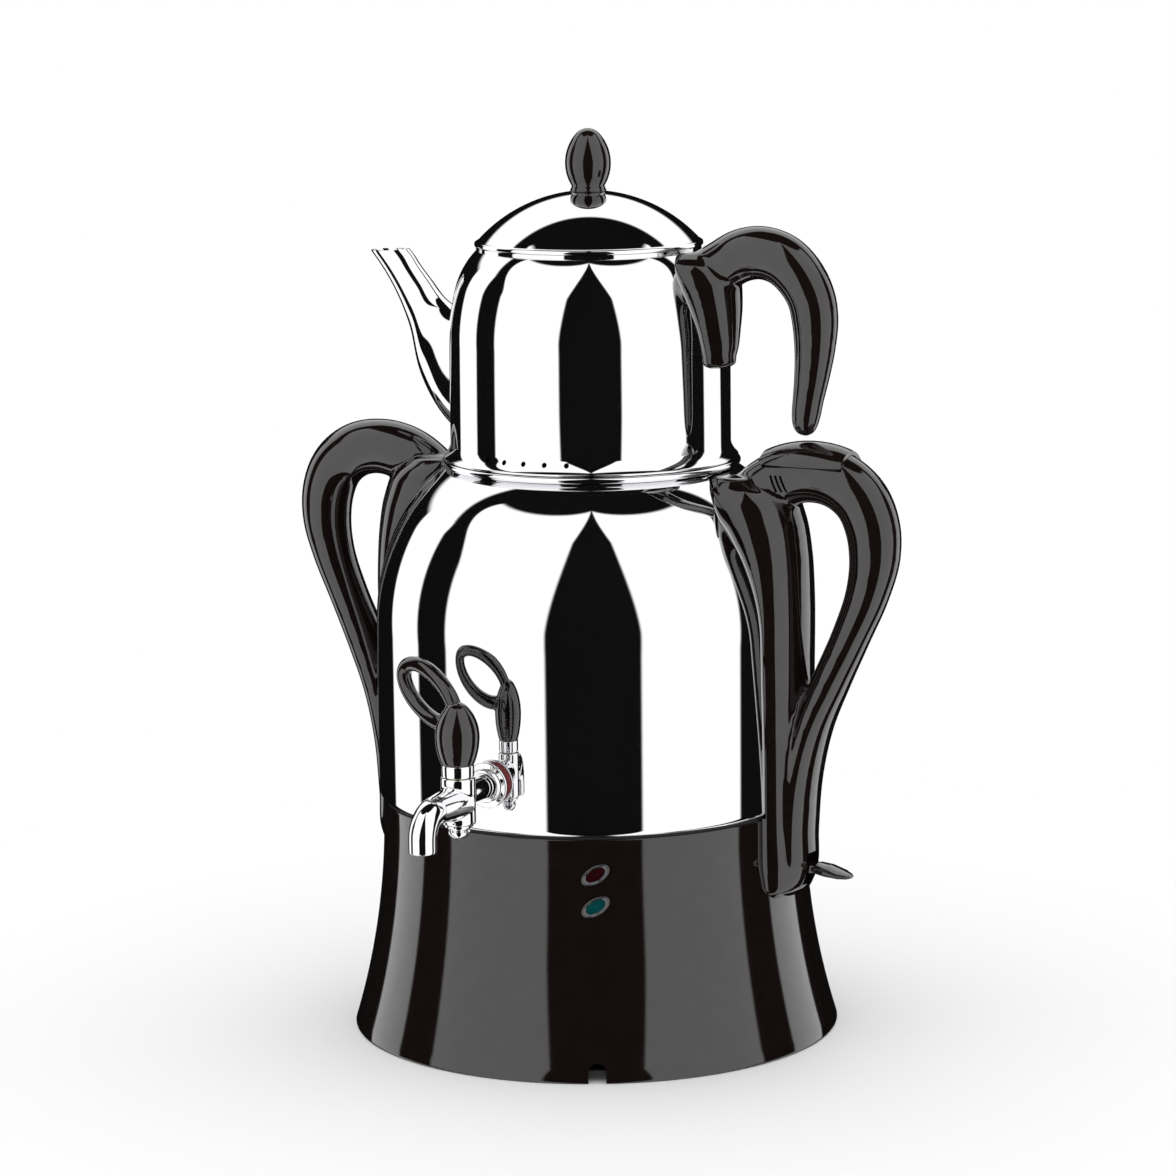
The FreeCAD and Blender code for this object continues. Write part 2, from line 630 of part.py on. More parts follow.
# Loop handles. Each station is a share of the reach from the wall and of the height from the foot.
def gripLine(spare):
    reach = float(handleReach - s.boilerRadius - s.handleGrip)
    height = float(handleCrest - handleFoot - s.handleGrip * 1.05)
    grip = float(s.handleGrip)
    rows = ((-0.56, 0.865, 1.09), (-0.35, 0.94, 1.09), (-0.05, 0.985, 1.07), (0.28, 1.0, 1.05),
            (0.61, 0.986, 1.05), (0.85, 0.945, 1.03), (0.98, 0.88, 1.0), (1.0, 0.815, 0.93),
            (0.925, 0.733, 0.8), (0.738, 0.63, 0.7), (0.504, 0.518, 0.665), (0.293, 0.407, 0.65),
            (0.164, 0.288, 0.645), (0.11, 0.15, 0.64), (0.1, 0.055, 0.62), (0.09, 0.02, 0.45))
    return [(float(s.boilerRadius) + out * reach, float(handleFoot) + up * height,
             thick * grip + spare, thick * grip + spare) for out, up, thick in rows]


def columnLine():
    wall = float(s.boilerRadius)
    height = float(handleCrest - handleFoot - s.handleGrip * 1.05)
    proud = float(s.columnProud)
    half = float(s.columnHalf)
    rows = ((0.0, -0.4, 0.4, 0.66), (0.015, -0.4, 0.8, 0.86), (0.05, -0.4, 0.98, 0.95),
            (0.15, -0.4, 0.96, 0.98), (0.36, -0.4, 0.96, 1.0), (0.565, -0.4, 1.0, 1.05),
            (0.72, -0.5, 1.0, 1.08), (0.82, -0.9, 0.9, 1.1), (0.9, -1.5, 0.6, 1.12),
            (0.96, -2.0, 0.0, 1.05), (0.99, -2.3, -0.8, 0.8))
    return [(float(handleFoot) + up * height, wall + centre * proud, wall + face * proud,
             wide * half)
            for up, centre, face, wide in rows]


def loopHandle(side):
    grip = tube([(side * x, z, thick, wide) for x, z, thick, wide in gripLine(0)])
    return grip.fuse(column([(z, side * centre, side * face, half)
                             for z, centre, face, half in columnLine()]))


def handleSlits():
    # Three leaning vent slits through both faces of the root of the arch.
    slits = []
    for number in range(int(float(s.slitCount))):
        slit = block("slit%d" % number, s.slitWidth, 4 * s.columnHalf, s.slitLength,
                     (slitPlace + s.slitPitch * number, -2 * s.columnHalf, slitHeight),
                     Rotation(Vector(0, 1, 0), -float(s.slitLean)))
        slits.append(slit)
    core = block("slitCore", s.slitPitch * s.slitCount + 2 * s.slitMargin,
                 2 * (s.handleGrip - s.slitDepth), s.slitLength + s.slitMargin,
                 (slitPlace - s.slitMargin, s.slitDepth - s.handleGrip,
                  slitHeight - s.slitMargin / 4))
    return cut("handleSlits", joined("slitBlades", *slits), core)


def handles(envelope):
    for side, label in ((1, "right_handle"), (-1, "left_handle")):
        studs = []
        bores = []
        for number, height in enumerate((upperStud, lowerStud)):
            start = s.boilerRadius - s.boilerWall
            name = "%s%d" % (label, number)
            turn = Rotation(Vector(0, 1, 0), 90 * side)
            studs.append(cut(name + "Stud",
                             rod(name + "Rod", s.handleStud, s.studReach,
                                 (side * start, 0, height), turn), envelope))
            bores.append(rod(name + "Bore", s.handleStud + s.screwFit, s.studReach + s.screwFit,
                             (side * start, 0, height), turn))
        tools = [envelope] + bores
        if side > 0:
            tools += [handleSlits(), switchPocket()]
        node(trimmed(label + "Cut", loopHandle(side), *tools), label)
        node(group(label + "Studs", *studs), label + "_studs")
    cap = tube(gripLine(float(s.capThickness))).cut(tube(gripLine(float(s.contactGap))))
    middle = handleCrest - s.handleGrip
    span = Part.makeBox(float(capEnd - capStart), 4 * float(s.handleGrip),
                        2 * float(s.handleGrip),
                        Vector(float(capStart), -2 * float(s.handleGrip),
                               float(middle + s.capWrap)))
    node(shaped("rightCap", cap.common(span)), "right_handle_cap")


# Switch
def switchPocket():
    width = 2 * s.switchHalf
    low = switchHeight - s.switchWindow / 2
    window = block("switchWindow", handleReach - switchFace, width, s.switchWindow,
                   (switchFace, -s.switchHalf, low))
    pin = rod("pinHole", s.leverPin + s.runningFit, width + 4,
              (leverPivot, s.switchHalf + 2, switchHeight), towardsTap)
    return joined("switchPocket", window, pin)


def switch():
    low = switchHeight - s.switchWindow / 2
    node(block("switchBox", s.switchBody, 2 * (s.switchHalf - s.contactGap),
               s.switchWindow - 2 * s.contactGap,
               (switchFace + s.contactGap, s.contactGap - s.switchHalf, low + s.contactGap)),
         "switch_body")
    node(rod("switchPin", s.leverPin, 2 * s.switchHalf + 3,
             (leverPivot, s.switchHalf + 1.5, switchHeight), towardsTap), "switch_pin")
    hub = rod("leverHub", s.leverRoot / 2, 2 * (s.switchHalf - s.seatGap),
              (leverPivot, s.switchHalf - s.seatGap, switchHeight), towardsTap)
    neck = block("leverNeck", leverWaist - leverPivot, 2 * (s.switchHalf - 1.5), s.leverRoot,
                 (leverPivot, 1.5 - s.switchHalf, switchHeight - s.leverRoot / 2))
    tongue = shaped("leverTongue", tube([
        (float(leverWaist) - 2.5, float(switchHeight) + 0.2, 1.6, 4.0),
        (float(leverWaist), float(switchHeight), 2.6, float(s.leverHalf) * 0.85),
        (float(leverWaist) + 5, float(switchHeight) - 0.7, 2.6, float(s.leverHalf)),
        (float(leverTip) - 5, float(switchHeight) - 2.0, 1.7, float(s.leverHalf) * 0.9),
        (float(leverTip) - 1.5, float(switchHeight) - 2.6, 1.1, float(s.leverHalf) * 0.55),
        (float(leverTip), float(switchHeight) - 2.8, 0.5, float(s.leverHalf) * 0.25)]))
    bore = rod("leverBore", s.leverPin + s.runningFit, 2 * s.switchHalf,
               (leverPivot, s.switchHalf, switchHeight), towardsTap)
    lever = joined("leverJoined", hub, neck, tongue)
    node(cut("lever", lever, bore), "switch_lever")


# Tap
def tapBody(envelope):
    axis = s.boilerRadius + s.tapOut
    nutFace = s.boilerRadius - s.boilerWall - s.innerGasketThickness - s.lockNutThickness - 1
    armHeight = tapHeight - s.armDrop
    bendStart = axis + s.outletReach - s.bendRadius
    bendHeight = armHeight - s.bendRadius

    def channel(name, tubeRadius, armRadius, outRadius, spare):
        pipe = rod(name + "Tube", tubeRadius, axis - nutFace, (0, -nutFace, tapHeight),
                   towardsTap)
        arm = rod(name + "Arm", armRadius, bendStart - axis, (0, -axis, armHeight), towardsTap)
        bend = doc.addObject("Part::Torus", name + "Bend")
        bind(bend, Radius1=s.bendRadius, Radius2=armRadius)
        bend.Angle1, bend.Angle2, bend.Angle3 = -180, 180, 90
        place(bend, (0, -bendStart, bendHeight),
              Rotation(Vector(0, 0, 1), Vector(0, -1, 0), Vector(1, 0, 0), "XYZ"))
        drop = rod(name + "Drop", outRadius, bendHeight - outletBottom + spare,
                   (0, -(axis + s.outletReach), outletBottom - spare))
        return [pipe, arm, bend, drop]

    barrel = rod("barrel", s.barrelRadius, barrelTop - barrelBottom,
                 (0, -axis, barrelBottom))
    solid = joined("tapSolid", barrel, *channel("tap", s.tapTube, s.armRadius,
                                                s.outletRadius, size(0)))
    plugBore = rod("plugBore", s.plugRadius + s.runningFit, barrelTop - barrelBottom + 2,
                   (0, -axis, barrelBottom - 1))
    node(cut("tapCasting", solid, plugBore,
             *channel("bore", s.tapBore, s.outletBore, s.outletBore, size(1))), "tap_body")
    bore = s.tapTube + s.contactGap
    gasketStart = s.boilerRadius - 1
    gasketFace = s.boilerRadius + s.mountGap + s.tapGasketThickness
    seal = ringOf("tapSeal", s.tapGasketRadius, bore, gasketFace - gasketStart,
                  (0, -gasketStart, tapHeight), towardsTap)
    node(cut("tapGasket", seal, envelope), "tap_gasket")
    node(turned("tapFlange", [
        (bore, 0), (s.tapFlangeRadius, 0), (s.tapFlangeRadius, s.tapFlangeThickness / 3),
        (s.tapTube + 1.5, s.tapFlangeThickness, s.tapFlangeThickness),
        (bore, s.tapFlangeThickness)],
        (0, -gasketFace, tapHeight), towardsTap), "tap_flange")
    inside = rootOf((s.boilerRadius - s.boilerWall) * (s.boilerRadius - s.boilerWall)
                    - s.innerGasketRadius * s.innerGasketRadius) - s.contactGap
    node(ringOf("innerSeal", s.innerGasketRadius, bore, s.innerGasketThickness,
                (0, -(inside - s.innerGasketThickness), tapHeight), towardsTap),
         "tap_inner_gasket")
    nut = doc.addObject("Part::Prism", "nutPrism")
    nut.Polygon = 6
    bind(nut, Circumradius=s.lockNutRadius, Height=s.lockNutThickness)
    place(nut, (0, -(inside - s.innerGasketThickness - s.lockNutThickness), tapHeight),
          towardsTap)
    node(cut("lockNut", nut, rod("nutBore", bore, s.boilerRadius, (0, 0, tapHeight),
                                 towardsTap)), "tap_lock_nut")


def olive(waist, tip, radius, top, tipRadius):
    # Corner and tip of the upper half of an olive, as outline corners.
    rise = top - waist
    wide = radius - tipRadius
    side = (radius * radius + (rise - tipRadius) * (rise - tipRadius)
            - tipRadius * tipRadius) / (2 * wide)
    run = side - radius
    span = side - tipRadius
    corner = (run / span * side - run, waist + (rise - tipRadius) / span * side)
    return [(corner[0], corner[1], side), (0, top, tipRadius)]


def lowerArc(radius, waist, endRadius, end):
    drop = waist - end
    narrow = radius - endRadius
    return (drop * drop + narrow * narrow) / (2 * narrow)


def tapKey():
    axis = s.boilerRadius + s.tapOut
    washerTop = barrelBottom - s.seatGap
    washerBottom = washerTop - s.tapWasher
    stud = s.plugStud
    at = (0, -axis, 0)
    collarBottom = barrelTop + s.seatGap
    plug = turned("plugTurned", [
        (0, acornBottom + 2), (stud, acornBottom + 2), (stud, washerTop + s.contactGap),
        (s.plugRadius, washerTop + s.contactGap), (s.plugRadius, collarTop - s.contactGap),
        (s.plugShank, collarTop - s.contactGap), (s.plugShank, plugShankTop),
        (0, plugShankTop)], at)
    port = rod("plugPort", s.portRadius, 4 * s.plugRadius,
               (-2 * s.plugRadius, -axis, tapHeight - s.armDrop / 2), towardsX)
    node(cut("plug", plug, port), "tap_plug")
    node(turned("collar", [
        (s.plugRadius + s.contactGap, collarBottom), (s.collarRadius, collarBottom),
        (s.collarRadius, collarTop), (s.plugRadius + s.contactGap, collarTop)], at),
        "tap_collar")
    bottom = collarTop + s.contactGap
    foot = s.collarRadius
    lower = lowerArc(s.oliveRadius, oliveWaist, foot, bottom)
    shell = turned("oliveTurned", [
        (0, bottom), (foot, bottom), (s.oliveRadius, oliveWaist, lower)]
        + olive(oliveWaist, s.oliveTip, s.oliveRadius, oliveTop, s.oliveTip), at)
    hollow = rod("oliveBore", s.plugShank + s.contactGap, plugShankTop + 1 - bottom,
                 (0, -axis, bottom))
    doc.recompute()
    node(trimmed("olive", shell.Shape.fuse(ringLever(axis)), hollow), "tap_lever")
    node(ringOf("keyWasher", s.tapWasherRadius, stud + s.contactGap, s.tapWasher,
                (0, -axis, washerBottom)), "tap_washer")
    acornSide = washerBottom - (washerBottom - acornBottom) / 2
    dome = acornSide - acornBottom
    domeArc = (dome * dome + s.acornRadius * s.acornRadius) / (2 * dome)
    acorn = turned("acornTurned", [
        (0, acornBottom), (s.acornRadius, acornSide, domeArc), (s.acornRadius, washerBottom),
        (0, washerBottom)], at)
    node(cut("acorn", acorn, rod("acornBore", stud + s.contactGap, s.acornRadius * 2,
                                 (0, -axis, acornBottom + 2 - s.contactGap))), "tap_cap_nut")


def ringLever(axis):
    # An oval loop of round bar, standing in an upright plane beside the olive.
    turn = radians(float(s.ringTurn))
    tilt = radians(float(s.ringTilt))
    out = Vector(-cos(turn), sin(turn), 0)
    rise = Vector(0, 0, 1)
    long = out * cos(tilt) + rise * sin(tilt)
    short = rise * cos(tilt) - out * sin(tilt)
    centre = Vector(0, -float(axis), float(ringHeight)) + out * float(s.ringPlace)
    path = oval(centre, long * float(s.ringLong), short * float(s.ringShort))
    start = centre + long * float(s.ringLong)
    bar = Part.Wire(Part.makeCircle(float(s.ringTube), start, short))
    return path.makePipeShell([bar], True, True)


# Teapot
def teapot():
    wall = s.teapotWall
    shoulder = s.teapotShoulderRadius
    turnCos, turnSin = cosOf(s.teapotShoulderTurn), sinOf(s.teapotShoulderTurn)
    inner = mouthRadius - wall
    flangeTop = teapotBottom + wall
    blank = turned("potBlank", [
        (spigotRadius + 2 * s.seatGap, teapotBottom),
        (teapotFlange, teapotBottom),
        (teapotFlange, flangeTop),
        (teapotRadius, flangeTop + s.teapotFillet, -2 * s.teapotFillet),
        (teapotRadius, teapotShoulder),
        (potAxis + shoulder * turnCos, teapotShoulder + shoulder * turnSin, shoulder),
        (mouthRadius, crownAt(mouthRadius, s.teapotCrownRadius, potCrownAxis,
                                potCrownHeight), s.teapotCrownRadius),
        (mouthRadius, mouthHeight),
        (inner, mouthHeight),
        (inner, crownAt(inner, s.teapotCrownRadius - wall, potCrownAxis, potCrownHeight)),
        (potAxis + (shoulder - wall) * turnCos, teapotShoulder + (shoulder - wall) * turnSin,
         -(s.teapotCrownRadius - wall)),
        (teapotRadius - wall, teapotShoulder, -(shoulder - wall)),
        (teapotRadius - wall, flangeTop),
        (spigotRadius + 2 * s.seatGap, flangeTop),
    ])
    holes = []
    for number in range(int(float(s.ventCount))):
        turn = (number - (float(s.ventCount) - 1) / 2) * float(s.ventStep)
        holes.append(rod("vent%d" % number, s.ventRadius, teapotFlange + 4,
                         (0, 0, flangeTop + s.ventLift),
                         Rotation(Vector(0, 0, 1), turn) * towardsTap))
    for line in range(int(float(s.strainerRows))):
        for spot in range(int(float(s.strainerColumns))):
            across = (spot - (float(s.strainerColumns) - 1) / 2) * s.strainerPitch
            up = (line - (float(s.strainerRows) - 1) / 2) * s.strainerPitch
            holes.append(rod("strainer%d%d" % (line, spot), s.strainerHole, spoutReach,
                             (0, across, teapotBottom + s.strainerLift + up),
                             Rotation(Vector(0, 1, 0), -90)))
    node(cut("potShell", blank, *holes), "teapot_shell")
    low = flangeTop + s.contactGap
    node(turned("potFloor", [
        (0, low), (spigotRadius - wall, low), (spigotRadius - wall, low - s.spigotDepth),
        (spigotRadius, low - s.spigotDepth), (spigotRadius, low),
        (teapotRadius - wall - s.contactGap, low),
        (teapotRadius - wall - s.contactGap, low + s.floorThickness),
        (0, low + s.floorThickness)]), "teapot_floor")


def spout(envelope):
    # Ovals between a lower and an upper point of the side view, from the root to the level mouth.
    root = float(teapotRadius)
    reach = float(spoutReach) - root
    low = float(teapotBottom + s.spoutFootLift)
    rise = float(spoutTop) - low
    back = float(spoutReach - s.spoutMouth) - root
    high = float(teapotShoulder + s.spoutRootRise)
    lift = float(spoutTop) - high
    rows = ((-0.12, 0.0, -0.25, 0.0, 1.25), (0.23, 0.167, 0.16, 0.04, 1.0),
            (0.435, 0.345, 0.4, 0.19, 0.76), (0.565, 0.6, 0.64, 0.5, 0.54),
            (0.737, 0.8, 0.825, 0.75, 0.43), (0.87, 0.91, 0.92, 0.9, 0.39),
            (1.0, 1.0, 1.0, 1.0, 0.38))

    def skin(inset):
        sections = []
        for lowOut, lowUp, highOut, highUp, wide in rows:
            under = Vector(-(root + lowOut * reach), 0, low + lowUp * rise)
            over = Vector(-(root + highOut * back), 0, high + highUp * lift)
            along = (over - under) * 0.5
            along = along * ((along.Length - inset) / along.Length)
            half = Vector(0, float(s.spoutHalf) * wide - inset, 0)
            sections.append(oval((under + over) * 0.5, along, half))
        return Part.makeLoft(sections, True, True)

    outer = skin(0)
    inner = skin(float(s.spoutWall))
    node(trimmed("spoutCut", outer.cut(inner), envelope), "teapot_spout")


def hook(envelope):
    wall = float(teapotRadius)
    reach = float(hookReach - teapotRadius - s.hookGrip)
    top = float(hookCrest - s.hookGrip * 1.13)
    tip = float(hookTip)
    grip = float(s.hookGrip)
    rows = ((-0.2, 0.84, 1.0), (0.08, 0.925, 1.1), (0.26, 0.98, 1.13), (0.45, 1.0, 1.13),
            (0.68, 0.965, 1.11), (0.86, 0.87, 1.07), (0.97, 0.75, 1.02), (1.0, 0.65, 0.99),
            (1.0, 0.5, 0.88), (0.97, 0.34, 0.76), (0.93, 0.2, 0.66), (0.905, 0.1, 0.6),
            (0.895, 0.055, 0.52), (0.885, 0.022, 0.36), (0.88, 0.006, 0.17))
    bar = tube([(wall + out * reach, tip + up * (top - tip), thick * grip, thick * grip)
                for out, up, thick in rows])
    foot = float(shieldFoot)
    proud = float(s.shieldProud)
    half = float(s.shieldHalf)
    shield = column([(foot + up * (top - foot), wall + centre * proud, wall + face * proud,
                      wide * half)
                     for up, centre, face, wide in (
                         (0.0, -0.26, 0.3, 0.3), (0.02, -0.26, 0.62, 0.42),
                         (0.1, -0.26, 0.8, 0.52), (0.35, -0.26, 0.97, 0.75),
                         (0.6, -0.35, 1.0, 0.95), (0.8, -0.7, 0.85, 1.05),
                         (0.92, -1.04, 0.4, 0.95), (0.99, -1.22, -0.2, 0.6))])
    start = teapotRadius - s.teapotWall
    rodAt = (start, 0, teapotShoulder + s.hookStudRise)
    bore = rod("hookBore", s.hookStud + s.screwFit, s.hookStudReach + s.screwFit, rodAt, towardsX)
    node(trimmed("hookCut", bar.fuse(shield), envelope, bore), "teapot_handle")
    stud = rod("hookRod", s.hookStud, s.hookStudReach, rodAt, towardsX)
    node(cut("hookStud", stud, envelope), "teapot_handle_stud")


# Lid
def lid():
    seat = mouthHeight + s.seatGap
    edge = seat + s.lidRimHeight + 0.8
    arc = (lidEdge * lidEdge + s.lidRise * s.lidRise) / (2 * s.lidRise)
    centre = edge + s.lidRise - arc
    inner = arc - s.lidWall
    spigot = lidSpigot - s.lidWall

    def domeAt(radius, sphere):
        return centre + rootOf(sphere * sphere - radius * radius)

    node(turned("lidTurned", [
        (spigot, seat - s.lidSpigotDepth), (lidSpigot, seat - s.lidSpigotDepth),
        (lidSpigot, seat), (lidRadius, seat), (lidRadius, seat + s.lidRimHeight),
        (lidEdge, edge, 1.8), (s.lidHole, domeAt(s.lidHole, arc), arc),
        (s.lidHole, domeAt(s.lidHole, inner)), (spigot, domeAt(spigot, inner), -inner)]),
        "lid_dome")
    top = centre + arc
    waist = top + s.knobWaistRise
    neck = top + s.knobNeckRise
    lower = lowerArc(s.knobRadius, waist, s.knobNeck, neck)
    footDrop = s.knobNeckRise + 1
    footOut = s.knobFoot - s.knobNeck
    footArc = (footDrop * footDrop + footOut * footOut) / (2 * footOut)
    knob = turned("knobTurned", [
        (0, top - 1), (s.knobFoot, top - 1), (s.knobNeck, neck, -footArc),
        (s.knobRadius, waist, lower)]
        + olive(waist, s.knobTip, s.knobRadius, top + s.knobHeight, s.knobTip))
    ball = doc.addObject("Part::Sphere", "lidBall")
    bind(ball, Radius=arc + s.contactGap)
    place(ball, (0, 0, centre))
    under = centre + inner - 0.6
    screwTop = under + s.knobScrewLength
    bore = rod("knobBore", s.knobScrewRadius + s.screwFit, s.knobScrewLength + 1, (0, 0, under))
    node(cut("knob", knob, ball, bore), "lid_knob")
    node(turned("knobScrew", [
        (0, under - s.knobScrewHeadHeight), (s.knobScrewHead, under - s.knobScrewHeadHeight),
        (s.knobScrewHead, under), (s.knobScrewRadius, under), (s.knobScrewRadius, screwTop),
        (0, screwTop)]), "lid_knob_screw")


def build():
    vessel = vesselEnvelope()
    pot = potEnvelope()
    skirt()
    underside()
    powerEntry(vessel)
    lamps()
    boiler()
    heating()
    handles(vessel)
    switch()
    tapBody(vessel)
    tapKey()
    teapot()
    spout(pot)
    hook(pot)
    lid()


def check():
    for thing in doc.Objects:
        if "Invalid" in thing.State or "Error" in thing.State:
            raise RuntimeError("%s failed: %s" % (thing.Label, thing.State))
    for thing in nodes:
        if thing.Shape.isNull() or not thing.Shape.isValid() or not thing.Shape.Solids:
            raise RuntimeError("%s has no valid solid" % thing.Label)


build()
doc.recompute()
check()
for thing in nodes:
    thing.Shape.exportStep("parts/%s.step" % thing.Label)
    print(thing.Label, len(thing.Shape.Solids), round(thing.Shape.Volume))
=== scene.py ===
import json
from math import asin, cos, pi, radians, sin, sqrt
import bmesh
import bpy
from mathutils import Matrix, Vector


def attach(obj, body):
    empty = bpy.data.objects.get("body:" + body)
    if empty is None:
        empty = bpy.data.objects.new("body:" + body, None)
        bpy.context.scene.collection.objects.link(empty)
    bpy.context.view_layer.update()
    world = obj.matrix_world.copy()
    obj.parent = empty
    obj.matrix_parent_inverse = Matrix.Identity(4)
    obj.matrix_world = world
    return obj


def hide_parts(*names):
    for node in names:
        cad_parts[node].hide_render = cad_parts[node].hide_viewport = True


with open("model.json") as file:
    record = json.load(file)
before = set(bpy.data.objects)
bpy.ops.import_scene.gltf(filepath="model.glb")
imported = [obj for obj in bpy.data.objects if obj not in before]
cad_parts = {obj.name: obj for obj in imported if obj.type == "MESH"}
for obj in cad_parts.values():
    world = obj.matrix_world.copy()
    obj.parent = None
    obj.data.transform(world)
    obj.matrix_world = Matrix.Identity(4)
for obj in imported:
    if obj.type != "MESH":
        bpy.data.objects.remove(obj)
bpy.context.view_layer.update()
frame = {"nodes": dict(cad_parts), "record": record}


# ---- shader helpers
class Wire:
    def __init__(self, tree, socket):
        self.tree = tree
        self.socket = socket

    def maths(self, operation, first, second=0.0):
        return addNode(self.tree, "ShaderNodeMath", {"operation": operation},
                       {0: first, 1: second})

    def __add__(self, other):
        return self.maths("ADD", self, other)

    def __sub__(self, other):
        return self.maths("SUBTRACT", self, other)

    def __rsub__(self, other):
        return self.maths("SUBTRACT", other, self)

    def __mul__(self, other):
        return self.maths("MULTIPLY", self, other)

    def __truediv__(self, other):
        return self.maths("DIVIDE", self, other)

    def __abs__(self):
        return self.maths("ABSOLUTE", self)

    __radd__ = __add__
    __rmul__ = __mul__


def addNode(tree, kind, settings=None, values=None, output=0):
    node = tree.nodes.new(kind)
    for name, setting in (settings or {}).items():
        if name == "stops":
            ramp = node.color_ramp
            while len(ramp.elements) > 1:
                ramp.elements.remove(ramp.elements[-1])
            for number, (position, colour) in enumerate(setting):
                stop = ramp.elements[0] if number == 0 else ramp.elements.new(position)
                stop.position = position
                stop.color = (*colour, 1.0)
        else:
            setattr(node, name, setting)
    for name, value in (values or {}).items():
        if isinstance(value, Wire):
            tree.links.new(value.socket, node.inputs[name])
        else:
            node.inputs[name].default_value = value
    return Wire(tree, node.outputs[output])


class Finish:
    def __init__(self, name):
        self.material = bpy.data.materials.new(name)
        self.material.use_nodes = True
        self.tree = self.material.node_tree
        self.shader = self.tree.nodes["Principled BSDF"]
        self.place = self.add("ShaderNodeTexCoord", output="Object")

    def add(self, kind, settings=None, values=None, output=0):
        return addNode(self.tree, kind, settings, values, output)

    def noise(self, scale, detail=3.0, vector=None):
        return self.add("ShaderNodeTexNoise", {"noise_dimensions": "3D"},
                        {"Vector": vector or self.place, "Scale": scale, "Detail": detail},
                        "Fac")

    def stretched(self, scale):
        return self.add("ShaderNodeMapping", {}, {"Vector": self.place, "Scale": scale})

    def blend(self, share, first, second):
        return self.add("ShaderNodeMix", {"data_type": "RGBA"},
                        {0: share, 6: (*first, 1.0), 7: (*second, 1.0)}, 2)

    def ramp(self, value, low, high):
        return self.add("ShaderNodeMapRange", {"interpolation_type": "SMOOTHSTEP"},
                        {"Value": value, "From Min": low, "From Max": high})

    def bump(self, height, strength, distance):
        return self.add("ShaderNodeBump", {},
                        {"Height": height, "Strength": strength, "Distance": distance})

    def set(self, **values):
        for name, value in values.items():
            slot = self.shader.inputs[socketNames[name]]
            if isinstance(value, Wire):
                self.tree.links.new(value.socket, slot)
            else:
                slot.default_value = (*value, 1.0) if isinstance(value, tuple) else value
        return self.material


socketNames = {
    "colour": "Base Color", "metal": "Metallic", "rough": "Roughness", "ior": "IOR",
    "normal": "Normal", "coat": "Coat Weight", "coatRough": "Coat Roughness",
    "coatIor": "Coat IOR", "specular": "Specular IOR Level",
}


# ---- mesh helpers
def outline(bm, corners, arcSteps=20):
    last = bmesh.ops.create_vert(bm, co=(corners[0][0], 0, corners[0][1]))["vert"][0]
    for corner in corners[1:]:
        here = last.co.copy()
        there = Vector((corner[0], 0, corner[1]))
        if len(corner) == 2:
            last = bmesh.ops.extrude_vert_indiv(bm, verts=[last])["verts"][0]
        else:
            radius = abs(corner[2])
            left = 1 if corner[2] > 0 else -1
            run = there - here
            away = Vector((-run.z, 0, run.x)).normalized() * left
            centre = (here + there) / 2 + away * sqrt(max(radius ** 2 - run.length ** 2 / 4, 0))
            turn = 2 * asin(min(run.length / 2 / radius, 1))
            spun = bmesh.ops.spin(bm, geom=[last], cent=centre, axis=(0, -left, 0), angle=turn,
                                  steps=arcSteps)
            last = [part for part in spun["geom_last"] if isinstance(part, bmesh.types.BMVert)][0]
        last.co = there


def lathe(corners, sides=128, closed=True, matrix=None, arcSteps=20):
    bm = bmesh.new()
    ends = [corners[0]] if closed and (corners[0][0] > 0 or corners[-1][0] > 0) else []
    outline(bm, list(corners) + [end[:2] for end in ends], arcSteps)
    bmesh.ops.remove_doubles(bm, verts=bm.verts, dist=0.0005)
    bmesh.ops.spin(bm, geom=bm.verts[:] + bm.edges[:], cent=(0, 0, 0), axis=(0, 0, 1),
                   angle=2 * pi, steps=sides, use_merge=True)
    bmesh.ops.remove_doubles(bm, verts=bm.verts, dist=0.0005)
    bmesh.ops.recalc_face_normals(bm, faces=bm.faces)
    if matrix:
        bmesh.ops.transform(bm, matrix=matrix, verts=bm.verts)
    return bm


def smoothRows(rows, count):
    # More stations between the given ones, on a curve that passes through each of them.
    times = [0.0]
    for before, after in zip(rows, rows[1:]):
        times.append(times[-1] + (Vector(before[:2]) - Vector(after[:2])).length)
    points = [Vector(row) for row in rows]
    slopes = []
    for index in range(len(rows)):
        low, high = max(index - 1, 0), min(index + 1, len(rows) - 1)
        first = (points[index] - points[low]) / max(times[index] - times[low], 1e-6)
        second = (points[high] - points[index]) / max(times[high] - times[index], 1e-6)
        if low == index:
            first = second
        if high == index:
            second = first
        share = (times[index] - times[low]) / (times[high] - times[low])
        slopes.append(first * (1 - share) + second * share)
    finer = []
    for index in range(len(rows) - 1):
        gap = times[index + 1] - times[index]
        for step in range(count):
            t = step / count
            finer.append((2 * t ** 3 - 3 * t ** 2 + 1) * points[index]
                         + (t ** 3 - 2 * t ** 2 + t) * gap * slopes[index]
                         + (3 * t ** 2 - 2 * t ** 3) * points[index + 1]
                         + (t ** 3 - t ** 2) * gap * slopes[index + 1])
    return finer + [points[-1]]


def barFrames(rows):
    # Stations of a bar in the XZ plane, from (x, z, half thickness, half width).
    frames = []
    for index, (x, z, thick, wide) in enumerate(rows):
        before, after = rows[max(index - 1, 0)], rows[min(index + 1, len(rows) - 1)]
        along = Vector((after[0] - before[0], 0, after[1] - before[1])).normalized()
        across = Vector((along.z, 0, -along.x)) * thick
        frames.append(stationOf((x, 0, z), across, Vector((0, wide, 0)), along))
    return frames


def columnFrames(rows):
    # Level stations of a column, from (height, inner centre, outer face, half width).
    return [stationOf((centre, 0, z), Vector((face - centre, 0, 0)), Vector((0, half, 0)),
                      Vector((0, 0, 1))) for z, centre, face, half in rows]


def stationOf(centre, across, side, along):
    columns = (across, side, along, Vector(centre))
    return Matrix([[column[row] for column in columns] for row in range(3)] + [[0, 0, 0, 1]])


